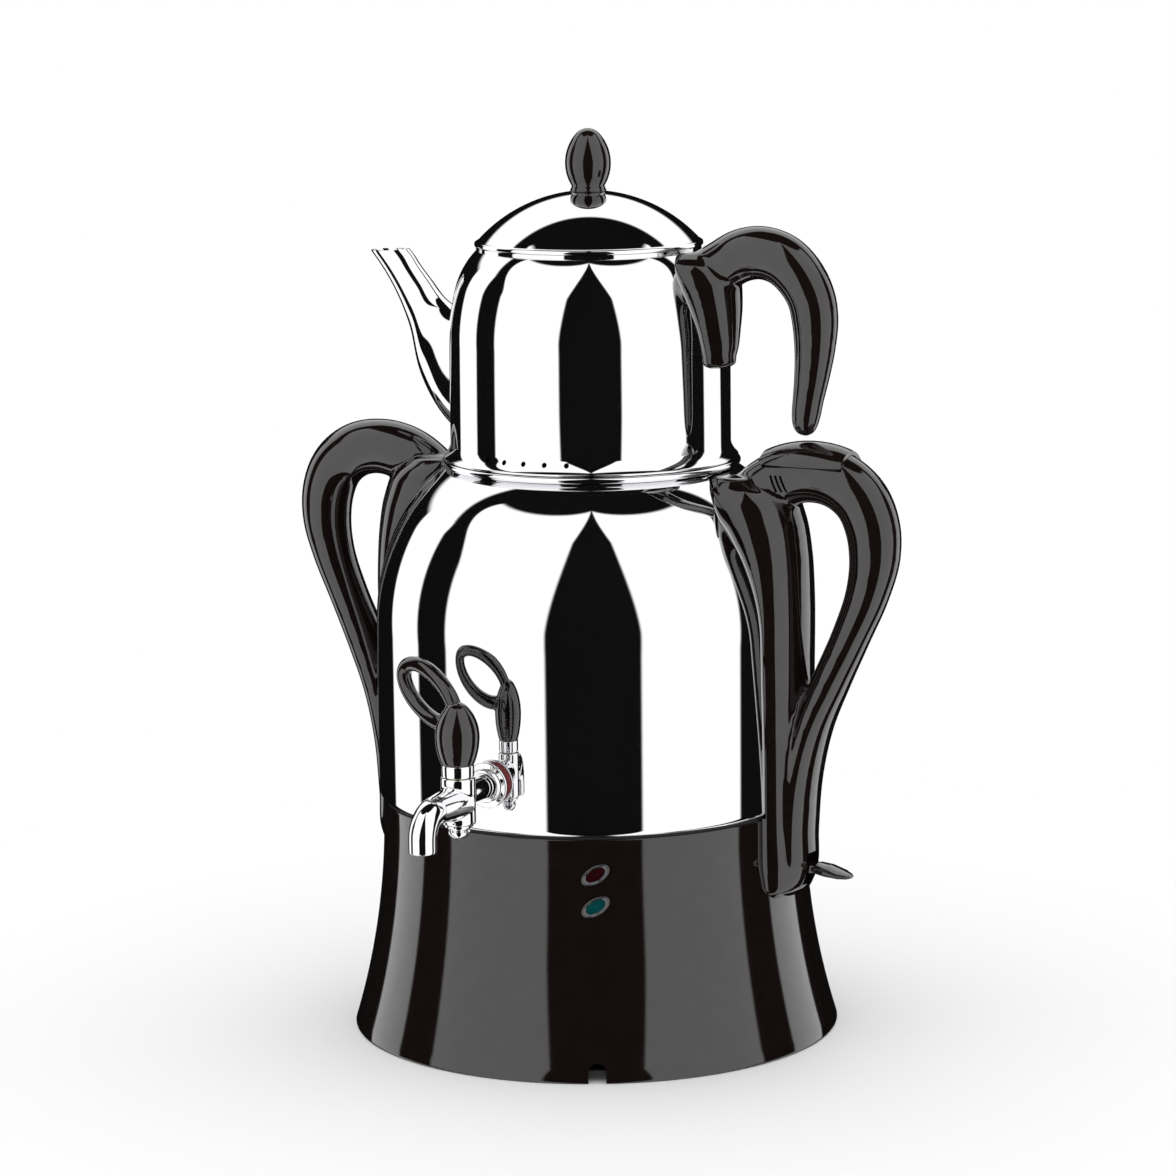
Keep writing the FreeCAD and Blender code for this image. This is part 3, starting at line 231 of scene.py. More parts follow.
def loft(bm, frames, sides=40, capped=True):
    ring = bmesh.ops.create_circle(bm, segments=sides, radius=1, matrix=frames[0])["verts"]
    edges = list({edge for vert in ring for edge in vert.link_edges})
    for before, after in zip(frames, frames[1:]):
        grown = bmesh.ops.extrude_edge_only(bm, edges=edges)["geom"]
        ring = [part for part in grown if isinstance(part, bmesh.types.BMVert)]
        fresh = set(ring)
        edges = [part for part in grown if isinstance(part, bmesh.types.BMEdge)
                 and fresh.issuperset(part.verts)]
        bmesh.ops.transform(bm, matrix=after @ before.inverted(), verts=ring)
    if capped:
        bmesh.ops.holes_fill(bm, edges=[edge for edge in bm.edges if edge.is_boundary])
    bmesh.ops.recalc_face_normals(bm, faces=bm.faces)


def boxOf(low, high, turn=None):
    bm = bmesh.new()
    low, high = Vector(low), Vector(high)
    bmesh.ops.create_cube(bm, size=1)
    bmesh.ops.scale(bm, vec=high - low, verts=bm.verts)
    if turn:
        bmesh.ops.rotate(bm, cent=(0, 0, 0), matrix=turn, verts=bm.verts)
    bmesh.ops.translate(bm, vec=(low + high) / 2, verts=bm.verts)
    return bm


def pegOf(start, end, radius, sides=32):
    bm = bmesh.new()
    start, end = Vector(start), Vector(end)
    turn = Vector((0, 0, 1)).rotation_difference(end - start).to_matrix().to_4x4()
    bmesh.ops.create_cone(bm, cap_ends=True, segments=sides, radius1=radius, radius2=radius,
                          depth=(end - start).length,
                          matrix=Matrix.Translation((start + end) / 2) @ turn)
    return bm


def together(*parts):
    whole = bmesh.new()
    for part in parts:
        mesh = bpy.data.meshes.new("part")
        part.to_mesh(mesh)
        part.free()
        whole.from_mesh(mesh)
        bpy.data.meshes.remove(mesh)
    return whole


def objectOf(name, bm):
    mesh = bpy.data.meshes.new(name)
    bmesh.ops.transform(bm, matrix=Matrix.Scale(0.001, 4), verts=bm.verts)
    bm.to_mesh(mesh)
    bm.free()
    thing = bpy.data.objects.new(name, mesh)
    bpy.context.scene.collection.objects.link(thing)
    return thing


def settle(thing):
    # Applies the modifiers.
    bpy.context.view_layer.update()
    ready = thing.evaluated_get(bpy.context.evaluated_depsgraph_get())
    mesh = bpy.data.meshes.new_from_object(ready)
    thing.modifiers.clear()
    thing.data = mesh


def fused(thing, voxel, rounds):
    # Melts overlapping bars into one skin, then smooths it.
    remesh = thing.modifiers.new("melt", "REMESH")
    remesh.mode = "VOXEL"
    remesh.voxel_size = voxel * 0.001
    smooth = thing.modifiers.new("soften", "SMOOTH")
    smooth.factor = 0.5
    smooth.iterations = rounds
    settle(thing)


def carve(thing, bm, operation="DIFFERENCE"):
    tool = objectOf("tool", bm)
    boolean = thing.modifiers.new("carve", "BOOLEAN")
    boolean.operation = operation
    boolean.solver = "EXACT"
    boolean.object = tool
    settle(thing)
    bpy.data.objects.remove(tool)


def finishPiece(thing, material, body, stands=(), crease=35):
    mesh = thing.data
    mesh.materials.clear()
    mesh.materials.append(material)
    mesh.shade_smooth()
    mesh.set_sharp_from_angle(angle=radians(crease))
    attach(thing, body)
    if stands:
        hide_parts(*stands)
    return thing


# ---- camera, light and floor
camera = {"distance": 1.9098029, "height": 0.53895282, "around": 27.7, "down": 9.93142749,
          "roll": -0.60358013, "yaw": -0.06012593, "focal": 4186.80095, "picture": 1176,
          "sensor": 36.0}
studio = {"camera": 1.0, "soft": 1.12, "mirror": 1.15, "dark": 0.004, "blur": 2.0,
          "floorRadius": 480, "gap": 25.4, "gapTop": 81, "panelTop": 78, "panelSlope": 0.19,
          "sideEnd": 84, "sideLean": 24,
          "leanAt": 38, "leanOver": 36, "backStart": 106, "ceiling": 0.47, "tableStart": 133,
          "tableTop": 22, "closing": 1.3, "topBlur": 3, "tableBlur": 5}


def setCamera():
    lens = bpy.data.cameras.new("camera")
    lens.sensor_width = camera["sensor"]
    lens.lens = camera["focal"] / camera["picture"] * camera["sensor"]
    lens.clip_end = 20
    eye = bpy.data.objects.new("camera", lens)
    bpy.context.scene.collection.objects.link(eye)
    down, yaw, roll = (radians(camera[key]) for key in ("down", "yaw", "roll"))
    ahead = Vector((sin(yaw) * cos(down), cos(yaw) * cos(down), -sin(down)))
    right = Vector((cos(yaw), -sin(yaw), 0))
    up = right.cross(ahead)
    across = right * cos(roll) + up * sin(roll)
    above = up * cos(roll) - right * sin(roll)
    spot = Vector((0, -camera["distance"], camera["height"]))
    columns = (across, above, -ahead, spot)
    pose = Matrix([[column[row] for column in columns] for row in range(3)] + [[0, 0, 0, 1]])
    eye.matrix_world = Matrix.Rotation(radians(camera["around"]), 4, "Z") @ pose
    bpy.context.scene.camera = eye


def setWorld():
    # Diffuse light is even. Polished pieces see a studio of tall soft panels: one at each
    # side of the camera that leans in to meet overhead, and one behind with a dark table.
    world = bpy.data.worlds.new("studio")
    bpy.context.scene.world = world
    world.use_nodes = True
    tree = world.node_tree
    tree.nodes.clear()
    turn = radians(camera["around"])
    view = addNode(tree, "ShaderNodeTexCoord", output="Generated")

    def along(direction):
        return addNode(tree, "ShaderNodeVectorMath", {"operation": "DOT_PRODUCT"},
                       {0: view, 1: direction}, "Value")

    def edge(value, blur=studio["blur"]):
        return addNode(tree, "ShaderNodeMapRange", {"interpolation_type": "SMOOTHSTEP"},
                       {"Value": value, "From Min": -blur / 2, "From Max": blur / 2})

    ahead = along((sin(turn), -cos(turn), 0))
    aside = along((cos(turn), sin(turn), 0))
    up = along((0, 0, 1))
    bearing = abs(ahead.maths("ARCTAN2", aside, ahead)) * (180 / pi)
    lift = up.maths("ARCSINE", up) * (180 / pi)
    above = lift.maths("MAXIMUM", lift, 0.0)
    shut = above / studio["gapTop"]
    shut = shut.maths("POWER", shut, studio["closing"])
    shut = shut.maths("MINIMUM", shut, 1.0)
    gap = studio["gap"] * (1 - shut)
    far = studio["sideEnd"] + studio["sideLean"] * edge(above - studio["leanAt"],
                                                       studio["leanOver"])
    front = edge(bearing - gap) * (1 - edge(bearing - far))
    front = front * (1 - edge(lift + bearing * studio["panelSlope"] - studio["panelTop"],
                              studio["topBlur"]))
    ceiling = (0 - ahead - up.maths("MAXIMUM", up, 0.0) * studio["ceiling"]) * (180 / pi)
    table = edge(bearing - studio["tableStart"]) * (1 - edge(lift - studio["tableTop"],
                                                             studio["tableBlur"]))
    back = edge(bearing - studio["backStart"]) * edge(ceiling, studio["topBlur"]) * (1 - table)
    bright = front.maths("MAXIMUM", front, back) * (studio["mirror"] - studio["dark"])
    rays = addNode(tree, "ShaderNodeLightPath", output="Is Camera Ray")
    path = rays.socket.node
    glossy = Wire(tree, path.outputs["Is Glossy Ray"])
    clear = Wire(tree, path.outputs["Is Transmission Ray"])
    plain = rays.maths("MAXIMUM", rays, clear)
    level = plain * studio["camera"] + (1 - plain) * studio["soft"]
    level = level * (1 - glossy) + (bright + studio["dark"]) * glossy
    background = addNode(tree, "ShaderNodeBackground", {},
                         {"Color": (1, 1, 1, 1), "Strength": level})
    output = tree.nodes.new("ShaderNodeOutputWorld")
    tree.links.new(background.socket, output.inputs["Surface"])
    bpy.context.scene.view_settings.view_transform = "Standard"


def setFloor():
    bm = bmesh.new()
    bmesh.ops.create_circle(bm, cap_ends=True, segments=96, radius=studio["floorRadius"])
    floor = objectOf("floor", bm)
    finish = Finish("floorPaper")
    grain = finish.noise(900, 2)
    floor.data.materials.append(finish.set(
        colour=finish.blend(grain, (0.925, 0.925, 0.925), (0.935, 0.935, 0.935)), rough=0.9,
        specular=0.0))
    floor.visible_glossy = False  # polished pieces see the panels down to the table


setCamera()
setWorld()
setFloor()
print("camera, light and floor are ready")


# ---- materials
def mirrorSteel(name, tint, rough, ripple):
    finish = Finish(name)
    smear = finish.noise(18, 4)
    lines = finish.noise(1.0, 2, finish.stretched((60, 60, 2600)))
    polish = finish.noise(ripple[0], 2)
    return finish.set(
        colour=finish.blend(smear, tint, tuple(channel * 0.97 for channel in tint)), metal=1.0,
        rough=rough + smear * 0.014 + lines * 0.008,
        normal=finish.bump(polish, ripple[1], 0.0002))


def glossBlack(name, seam=None):
    finish = Finish(name)
    dust = finish.noise(140, 4)
    peel = finish.noise(900, 2)
    aside = finish.add("ShaderNodeSeparateXYZ", {}, {0: finish.place}, "Y")
    height = peel
    shade = dust
    if seam:
        line = finish.ramp(abs(aside), 0.00035, 0.00012)  # where the two moulds met
        height = peel - line * seam
        shade = dust - line
    return finish.set(
        colour=finish.blend(shade, (0.0052, 0.003, 0.0028), (0.009, 0.0055, 0.005)),
        rough=0.045 + dust * 0.03, ior=1.55, coat=dust * 0.3 + 0.7, coatRough=0.02, coatIor=1.45,
        normal=finish.bump(height, 0.03, 0.0002))


def plainFinish(name, first, second, rough, scale, strength, **extra):
    finish = Finish(name)
    cloud = finish.noise(scale, 4)
    speck = finish.noise(scale * 9, 3)
    return finish.set(colour=finish.blend(cloud, first, second), rough=rough + cloud * 0.1,
                      normal=finish.bump(speck, strength, 0.0003), **extra)


looks = {
    "mirror_steel": mirrorSteel("mirrorSteel", (0.9, 0.9, 0.915), 0.02, (40, 0.002)),
    "tap_chrome": mirrorSteel("tapChrome", (0.93, 0.93, 0.94), 0.03, (160, 0.03)),
    "gloss_black": glossBlack("glossBlack"),
    "lamp_clear": plainFinish("lampClear", (0.03, 0.03, 0.033), (0.06, 0.06, 0.065), 0.06, 300,
                              0.05, coat=1.0, coatRough=0.03, metal=0.3),
    "lamp_red": plainFinish("lampRed", (0.012, 0.001, 0.0015), (0.03, 0.0015, 0.003), 0.08, 260,
                            0.05, coat=1.0, coatRough=0.03),
    "lamp_green": plainFinish("lampGreen", (0.0, 0.03, 0.033), (0.0, 0.075, 0.075), 0.08, 260,
                              0.05, coat=1.0, coatRough=0.03),
    "seal_black": plainFinish("sealRubber", (0.012, 0.012, 0.012), (0.022, 0.022, 0.022), 0.55,
                              400, 0.2),
    "seal_red": plainFinish("sealSilicone", (0.16, 0.012, 0.016), (0.22, 0.02, 0.025), 0.4, 300,
                            0.1),
    "plate_black": plainFinish("ribbedPlate", (0.018, 0.018, 0.018), (0.03, 0.03, 0.03), 0.5, 500,
                               0.4),
    "zinc_steel": plainFinish("zincSteel", (0.55, 0.56, 0.53), (0.68, 0.68, 0.64), 0.3, 200, 0.1,
                              metal=1.0),
    "bright_aluminium": plainFinish("brightAluminium", (0.72, 0.73, 0.74), (0.8, 0.8, 0.81),
                                    0.28, 120, 0.1, metal=1.0),
    "board_green": plainFinish("boardGreen", (0.015, 0.11, 0.04), (0.02, 0.16, 0.06), 0.4, 400,
                               0.2),
    "bakelite": plainFinish("bakelite", (0.045, 0.022, 0.012), (0.08, 0.04, 0.02), 0.35, 160,
                            0.1),
    "brass": plainFinish("turnedBrass", (0.74, 0.52, 0.2), (0.82, 0.6, 0.27), 0.22, 220, 0.1,
                         metal=1.0),
}
seamBlack = glossBlack("glossBlackSeam", 1.0)
print("materials are ready")


# ---- base
flare = {"foot": 113.5, "top": 98.3, "flat": 100, "height": 108, "edge": 1.2, "inner": 95.8,
         "footInner": 108.5, "rim": 8, "ledge": 84, "ledgeDeep": 3, "rounding": 0.5, "step": 0.8}
lamps = {"around": 27.7, "height": 92.3, "pitch": 14.6, "long": 6.9, "short": 3.75, "tilt": 31,
         "rim": 1.1, "hole": 40, "rimDeep": 8, "lensDeep": 6, "rimInner": 0.55,
         "rimRows": ((0.985, 0.75), (0.95, 1.25, 0.7), (0.9, 1.3, 0.5)), "lensFit": 0.97,
         "lensEdge": 0.3, "lensTop": 0.9, "lensArc": 30}
notch = {"width": 8, "height": 9, "under": -5, "near": -100, "far": -130}
gland = {"height": 20, "radius": 5.9, "near": 90, "far": 130}


def arcThrough(rise, out):
    return (rise ** 2 + out ** 2) / (2 * out)


def makeSkirt():
    out = flare["foot"] - flare["top"]
    curve = arcThrough(flare["flat"], out)
    inside = arcThrough(flare["flat"] - flare["rim"], flare["footInner"] - flare["inner"])
    foot = flare["top"] + curve - sqrt(curve ** 2 - (flare["flat"] - flare["edge"]) ** 2)
    bm = lathe([
        (flare["footInner"], 0), (foot - flare["edge"], 0), (foot, flare["edge"], flare["edge"]),
        (flare["top"], flare["flat"], -curve),
        (flare["top"], flare["height"] - flare["rounding"]),
        (flare["top"] - flare["rounding"], flare["height"], flare["rounding"]),
        (flare["ledge"], flare["height"]),
        (flare["ledge"], flare["height"] - flare["ledgeDeep"]),
        (flare["inner"], flare["height"] - flare["ledgeDeep"]), (flare["inner"], flare["flat"]),
        (flare["footInner"], flare["rim"], inside)], sides=256)
    skirt = objectOf("skirt", bm)
    turn = Matrix.Rotation(radians(lamps["around"]), 4, "Z")
    tools = []
    for number in range(2):
        bar = bmesh.new()
        bmesh.ops.create_cone(bar, cap_ends=True, segments=64, radius1=1, radius2=1,
                              depth=lamps["hole"])
        bmesh.ops.transform(bar, matrix=lampPlace(number) @ Matrix.Diagonal(
            (lamps["long"], lamps["short"], 1, 1)), verts=bar.verts)
        tools.append(bar)
    half = notch["width"] / 2
    top = notch["height"] - half
    slot = boxOf((-half, notch["far"], notch["under"]), (half, notch["near"], top))
    bmesh.ops.transform(slot, matrix=turn, verts=slot.verts)
    tools.append(slot)
    tools.append(pegOf((0, gland["near"], gland["height"]), (0, gland["far"], gland["height"]),
                       gland["radius"]))
    carve(skirt, together(*tools))
    arch = pegOf((0, notch["far"], top), (0, notch["near"], top), half)
    bmesh.ops.transform(arch, matrix=turn, verts=arch.verts)
    carve(skirt, arch)
    finishPiece(skirt, looks["gloss_black"], "samovar", ["base_skirt"])


def lampPlace(number):
    # The middle of a lamp's face, with local X along the oval and Z out of the skirt.
    height = lamps["height"] - lamps["pitch"] * number
    turn = Matrix.Rotation(radians(lamps["around"]), 4, "Z")
    upright = Matrix.Rotation(radians(90), 4, "X")
    tilt = Matrix.Rotation(radians(lamps["tilt"]), 4, "Z")
    return turn @ Matrix.Translation((0, -flare["top"], height)) @ upright @ tilt


def makeLamps():
    rims = []
    for number, (name, slot) in enumerate((("redLens", "lamp_red"), ("greenLens", "lamp_green"))):
        squash = Matrix.Diagonal((lamps["long"], lamps["short"], 1, 1))
        wide = lamps["rim"] / lamps["short"]
        place = lampPlace(number) @ squash
        rows = lamps["rimRows"]
        rims.append(lathe([(1 - wide, -lamps["rimDeep"]), (rows[0][0], -lamps["rimDeep"]), *rows,
                           (1 - wide, lamps["rimInner"])], sides=72, matrix=place, arcSteps=5))
        fit = lamps["lensFit"] - wide
        lens = lathe([(0, -lamps["lensDeep"]), (fit, -lamps["lensDeep"]),
                      (fit, lamps["lensEdge"]), (0, lamps["lensTop"], lamps["lensArc"])],
                     sides=72, closed=False, matrix=place, arcSteps=10)
        node = "red_lamp_lens" if slot == "lamp_red" else "green_lamp_lens"
        finishPiece(objectOf(name, lens), looks[slot], "samovar", [node])
    finishPiece(objectOf("lampRims", together(*rims)), looks["lamp_clear"], "samovar",
                ["lamp_rims"])


makeSkirt()
makeLamps()
print("base is ready")


# ---- boiler
boiler = {"radius": 100, "bottom": 109, "edge": 3, "lip": 10, "wall": 1, "shoulder": 190,
          "shoulderArc": 110, "shoulderTurn": 27, "crownArc": 55, "neck": 66}
ring = {"outer": 69, "inner": 60.5, "height": 3, "collar": 1.5, "deep": 6, "gap": 0.3}


def crownOf(sizes, offset=0.0):
    # The corners of a vessel's shoulder and crown, set out by an offset.
    turn = radians(sizes["shoulderTurn"])
    axis = sizes["radius"] - sizes["shoulderArc"]
    shoulder = sizes["shoulderArc"] + offset
    crown = sizes["crownArc"] + offset
    lift = sizes["shoulderArc"] - sizes["crownArc"]
    crownAxis = axis + lift * cos(turn)
    crownHeight = sizes["shoulder"] + lift * sin(turn)
    neck = sizes["neck"] + offset
    top = crownHeight + sqrt(crown ** 2 - (neck - crownAxis) ** 2)
    return [(sizes["radius"] + offset, sizes["shoulder"]),
            (axis + shoulder * cos(turn), sizes["shoulder"] + shoulder * sin(turn), shoulder),
            (neck, top, crown)]


def backwards(corners):
    # The same run of corners in the other direction.
    turned = []
    for index in range(len(corners) - 1, -1, -1):
        arc = corners[index + 1][2:] if index + 1 < len(corners) else ()
        turned.append((corners[index][0], corners[index][1], *[-value for value in arc]))
    return turned


def makeBoiler():
    outer = crownOf(boiler)
    inner = backwards(crownOf(boiler, -boiler["wall"]))
    radius, bottom, edge, wall = (boiler[key] for key in ("radius", "bottom", "edge", "wall"))
    bm = lathe([
        (radius - boiler["lip"], bottom), (radius - edge, bottom), (radius, bottom + edge, edge)]
        + outer + inner + [
        (radius - wall, bottom + edge), (radius - edge, bottom + wall, -(edge - wall)),
        (radius - boiler["lip"], bottom + wall)], sides=256, arcSteps=32)
    shell = objectOf("boilerShell", bm)
    finishPiece(shell, looks["mirror_steel"], "samovar", ["boiler_shell"])
    seat = crownOf(boiler)[-1][1] + ring["gap"]
    half = ring["height"] / 2
    outerEdge = ring["outer"] - half
    neck = lathe([
        (ring["inner"], seat - ring["deep"]),
        (ring["inner"] + ring["collar"], seat - ring["deep"]),
        (ring["inner"] + ring["collar"], seat), (outerEdge, seat),
        (ring["outer"], seat + half, half),
        (outerEdge, seat + ring["height"], half), (ring["inner"], seat + ring["height"])],
        sides=256)
    finishPiece(objectOf("neckRing", neck), looks["mirror_steel"], "samovar",
                ["neck_ring"])
    return seat + ring["height"] + ring["gap"]


def vesselTool(offset=0.2):
    # The outside of the base and the boiler as a solid, for trimming what sits on them.
    curve = arcThrough(flare["flat"], flare["foot"] - flare["top"])
    crown = crownOf(boiler, offset)
    top = flare["height"] + flare["step"]
    return lathe([
        (0, -1), (flare["foot"] + offset, -1), (flare["foot"] + offset, 0),
        (flare["top"] + offset, flare["flat"], -curve), (flare["top"] + offset, top),
        (boiler["radius"] + offset, top)] + crown + [(0, crown[-1][1])], sides=256,
        closed=False)


teapotBottom = makeBoiler()
print("boiler is ready, teapot seat", round(teapotBottom, 3))


# ---- loop handles
loop = {
    "wall": 100, "crest": 277.7, "reach": 155, "grip": 12.4, "foot": 70, "proud": 10, "half": 21,
    "gripRows": ((-0.56, 0.865, 1.09, 1.09), (-0.35, 0.94, 1.09, 1.09),
                 (-0.05, 0.985, 1.07, 1.07), (0.28, 1.0, 1.05, 1.05), (0.61, 0.986, 1.05, 1.05),
                 (0.85, 0.945, 1.03, 1.03), (0.98, 0.88, 1.0, 1.0), (1.0, 0.815, 0.93, 0.95),
                 (0.925, 0.733, 0.8, 0.86), (0.738, 0.63, 0.7, 0.86), (0.504, 0.518, 0.68, 0.98),
                 (0.293, 0.407, 0.66, 1.14), (0.164, 0.288, 0.645, 1.22),
                 (0.11, 0.15, 0.64, 1.22), (0.1, 0.055, 0.62, 1.1), (0.09, 0.02, 0.45, 0.8)),
    "webRows": ((113, 146, 7, 8), (113.3, 156, 6, 8), (113.8, 164, 4, 7), (114.2, 170, 1.8, 5),
                (114.4, 173, 0.6, 2.5)),
    "columnRows": ((0.0, -4, 0.4, 0.66), (0.015, -4, 0.8, 0.86), (0.05, -4, 0.98, 0.95),
                   (0.15, -4, 0.96, 0.98), (0.36, -4, 0.96, 1.0), (0.565, -4, 1.0, 1.05),
                   (0.72, -5, 1.0, 1.08), (0.82, -9, 0.9, 1.1), (0.9, -15, 0.6, 1.12),
                   (0.96, -20, 0.0, 1.05), (0.99, -23, -0.8, 0.8)),
    "voxel": 1.0, "soften": 14,
}
cap = {"start": 90, "end": 131, "thick": 1.8, "inner": 0.1, "wrap": 4, "half": 40, "over": 60}
slits = {"count": 3, "place": 98, "pitch": 2.4, "width": 1.1, "length": 8, "height": 257,
         "lean": 20, "half": 15, "out": 24.5}
switchWindow = {"low": 76, "high": 91, "half": 6, "face": 101.2, "end": 170}


def gripFrames(spare=0.0):
    reach = loop["reach"] - loop["wall"] - loop["grip"]
    height = loop["crest"] - loop["foot"] - loop["grip"] * 1.05
    rows = [(loop["wall"] + out * reach, loop["foot"] + up * height,
             thick * loop["grip"] + spare, wide * loop["grip"] + spare)
            for out, up, thick, wide in loop["gripRows"]]
    return barFrames(smoothRows(rows, 5))


def makeHandle(side, name, node):
    height = loop["crest"] - loop["foot"] - loop["grip"] * 1.05
    bm = bmesh.new()
    loft(bm, gripFrames(), sides=48)
    rows = [(loop["foot"] + up * height, loop["wall"] + centre,
             loop["wall"] + face * loop["proud"], wide * loop["half"])
            for up, centre, face, wide in loop["columnRows"]]
    post = bmesh.new()
    loft(post, columnFrames(smoothRows(rows, 4)), sides=64)
    web = bmesh.new()
    loft(web, barFrames(smoothRows(loop["webRows"], 3)), sides=32)
    handle = objectOf(name, together(bm, post, web))
    fused(handle, loop["voxel"], loop["soften"])
    carve(handle, vesselTool())
    if side > 0:
        cuts = [boxOf((switchWindow["face"], -switchWindow["half"], switchWindow["low"]),
                      (switchWindow["end"], switchWindow["half"], switchWindow["high"]))]
        lean = Matrix.Rotation(radians(-slits["lean"]), 3, "Y")
        for number in range(slits["count"]):
            x = slits["place"] + slits["pitch"] * number
            for face in (-1, 1):
                blade = boxOf((0, -slits["half"], 0),
                              (slits["width"], slits["half"], slits["length"]), lean)
                bmesh.ops.translate(blade, vec=(x, face * slits["out"], slits["height"]),
                                    verts=blade.verts)
                cuts.append(blade)
        carve(handle, together(*cuts))
    else:
        handle.data.transform(Matrix.Scale(-1, 4, (1, 0, 0)))
        handle.data.flip_normals()
    finishPiece(handle, seamBlack, "samovar", [node])


def makeCap():
    outer, inner = bmesh.new(), bmesh.new()
    loft(outer, gripFrames(cap["thick"]), sides=64)
    loft(inner, gripFrames(cap["inner"]), sides=64)
    shell = objectOf("rightHandleCap", outer)
    middle = loop["crest"] - loop["grip"] + cap["wrap"]
    keep = boxOf((cap["start"], -cap["half"], middle),
                 (cap["end"], cap["half"], middle + cap["over"]))
    carve(shell, keep, "INTERSECT")
    carve(shell, inner)
    finishPiece(shell, seamBlack, "samovar", ["right_handle_cap"])


makeHandle(1, "rightHandle", "right_handle")
makeHandle(-1, "leftHandle", "left_handle")
makeCap()
print("loop handles are ready")


# ---- tap
flange = {"radius": 10.4, "hub": 7.4, "face": 102.2, "edge": 1.9, "deep": 4.2, "seal": 9.7,
          "bore": 6.1, "edgeRound": 0.5, "rimRound": 0.7, "slope": 0.3, "neck": 0.8,
          "hubRound": 1, "hubStep": 0.9, "back": 99.3, "gap": 0.1}
tap = {"axis": 128.6, "height": 132, "tube": 6, "barrel": 7.75, "low": 120, "high": 141,
       "arm": 6.2, "thick": 1.36, "armHeight": 130, "bend": 10.5, "out": 32, "bottom": 113.5,
       "bore": 4.4, "edge": 0.6, "inside": 92, "spare": 3, "voxel": 0.35, "soften": 8}
key = {"collar": 7.25, "collarTop": 146.6, "waist": 159, "radius": 9.8, "tip": 6.4,
       "top": 174.4, "ringTurn": 20, "ringTilt": 27.8, "ringLong": 18.8, "ringShort": 9.5,
       "ringPlace": 18.6, "ringHeight": 175.5, "ringTube": 3.4, "ringSteps": 72, "gap": 0.1,
       "bore": 5.1, "seat": 0.3, "edge": 0.4, "voxel": 0.4, "soften": 6,
       "nutRows": ((0, 112.4), (1.6, 112.9, 2.2), (4.6, 115.2, 4.4), (4.9, 116.6, 2.4),
                   (3.6, 117.6, -1.4), (5.3, 118.3, 1.2), (5.3, 118.8), (5.1, 119, 0.2),
                   (0, 119))}


def makeTap():
    axis, bend = tap["axis"], tap["bend"]
    wide, edge = tap["barrel"], tap["edge"]
    barrel = lathe([(0, tap["low"]), (wide - edge, tap["low"]), (wide, tap["low"] + edge, edge),
                    (wide, tap["high"] - edge), (wide - edge, tap["high"], edge),
                    (0, tap["high"])], sides=96, closed=False,
                   matrix=Matrix.Translation((0, -axis, 0)), arcSteps=6)
    pipe = pegOf((0, -tap["inside"], tap["height"]), (0, -axis, tap["height"]), tap["tube"], 64)
    elbow = bmesh.new()
    turn = Matrix.Rotation(radians(90), 4, "X")
    root = Matrix.Translation((0, -axis, tap["armHeight"]))
    start = bmesh.ops.create_circle(elbow, segments=64, radius=tap["arm"], matrix=root @ turn)
    edges = list({edge for vert in start["verts"] for edge in vert.link_edges})
    grown = bmesh.ops.extrude_edge_only(elbow, edges=edges)["geom"]
    verts = [part for part in grown if isinstance(part, bmesh.types.BMVert)]
    bmesh.ops.translate(elbow, vec=(0, bend - tap["out"], 0), verts=verts)
    bmesh.ops.scale(elbow, vec=(tap["thick"], 1, tap["thick"]), verts=start["verts"],
                    space=Matrix.Translation((0, 0, -tap["armHeight"])))
    edges = [part for part in grown if isinstance(part, bmesh.types.BMEdge)
             and set(verts).issuperset(part.verts)]
    centre = (0, -axis - tap["out"] + bend, tap["armHeight"] - bend)
    spun = bmesh.ops.spin(elbow, geom=verts + edges, cent=centre, axis=(1, 0, 0),
                          angle=radians(90), steps=20)["geom_last"]
    verts = [part for part in spun if isinstance(part, bmesh.types.BMVert)]
    edges = [part for part in spun if isinstance(part, bmesh.types.BMEdge)]
    grown = bmesh.ops.extrude_edge_only(elbow, edges=edges)["geom"]
    verts = [part for part in grown if isinstance(part, bmesh.types.BMVert)]
    drop = tap["armHeight"] - bend - tap["bottom"]
    bmesh.ops.translate(elbow, vec=(0, 0, -drop), verts=verts)
    bmesh.ops.holes_fill(elbow, edges=[edge for edge in elbow.edges if edge.is_boundary])
    bmesh.ops.recalc_face_normals(elbow, faces=elbow.faces)
    body = objectOf("tapBody", together(barrel, pipe, elbow))
    fused(body, tap["voxel"], tap["soften"])
    mouth = (0, -axis - tap["out"])
    carve(body, pegOf((*mouth, tap["bottom"] - tap["spare"]),
                      (*mouth, tap["armHeight"] - tap["spare"]), tap["bore"]))
    finishPiece(body, looks["tap_chrome"], "samovar", ["tap_body"], crease=50)


def makeFlange():
    # Drawn upright, then laid over to point out of the boiler.
    lay = Matrix.Translation((0, 0, tap["height"])) @ Matrix.Rotation(radians(90), 4, "X")
    face, rim = flange["face"], flange["face"] + flange["edge"]
    wide, hub, bore = flange["radius"], flange["hub"], flange["bore"]
    small, large, step = flange["edgeRound"], flange["rimRound"], flange["hubStep"]
    top = face + flange["deep"]
    plate = lathe([(bore, face), (wide - small, face), (wide, face + small, small),
                   (wide, rim - large), (wide - large, rim, large),
                   (hub + flange["neck"], rim + flange["slope"]), (hub, rim + step, -step),
                   (hub - small, top, flange["hubRound"]), (bore, top)], sides=128, matrix=lay,
                  arcSteps=6)
    finishPiece(objectOf("tapFlange", plate), looks["tap_chrome"], "samovar",
                ["tap_flange"])
    back, front = flange["back"], face - flange["gap"]
    seal = lathe([(bore, back), (flange["seal"], back), (flange["seal"], front), (bore, front)],
                 sides=128, matrix=lay)
    gasket = objectOf("tapGasket", seal)
    carve(gasket, vesselTool(0.05))
    finishPiece(gasket, looks["seal_red"], "samovar", ["tap_gasket"])


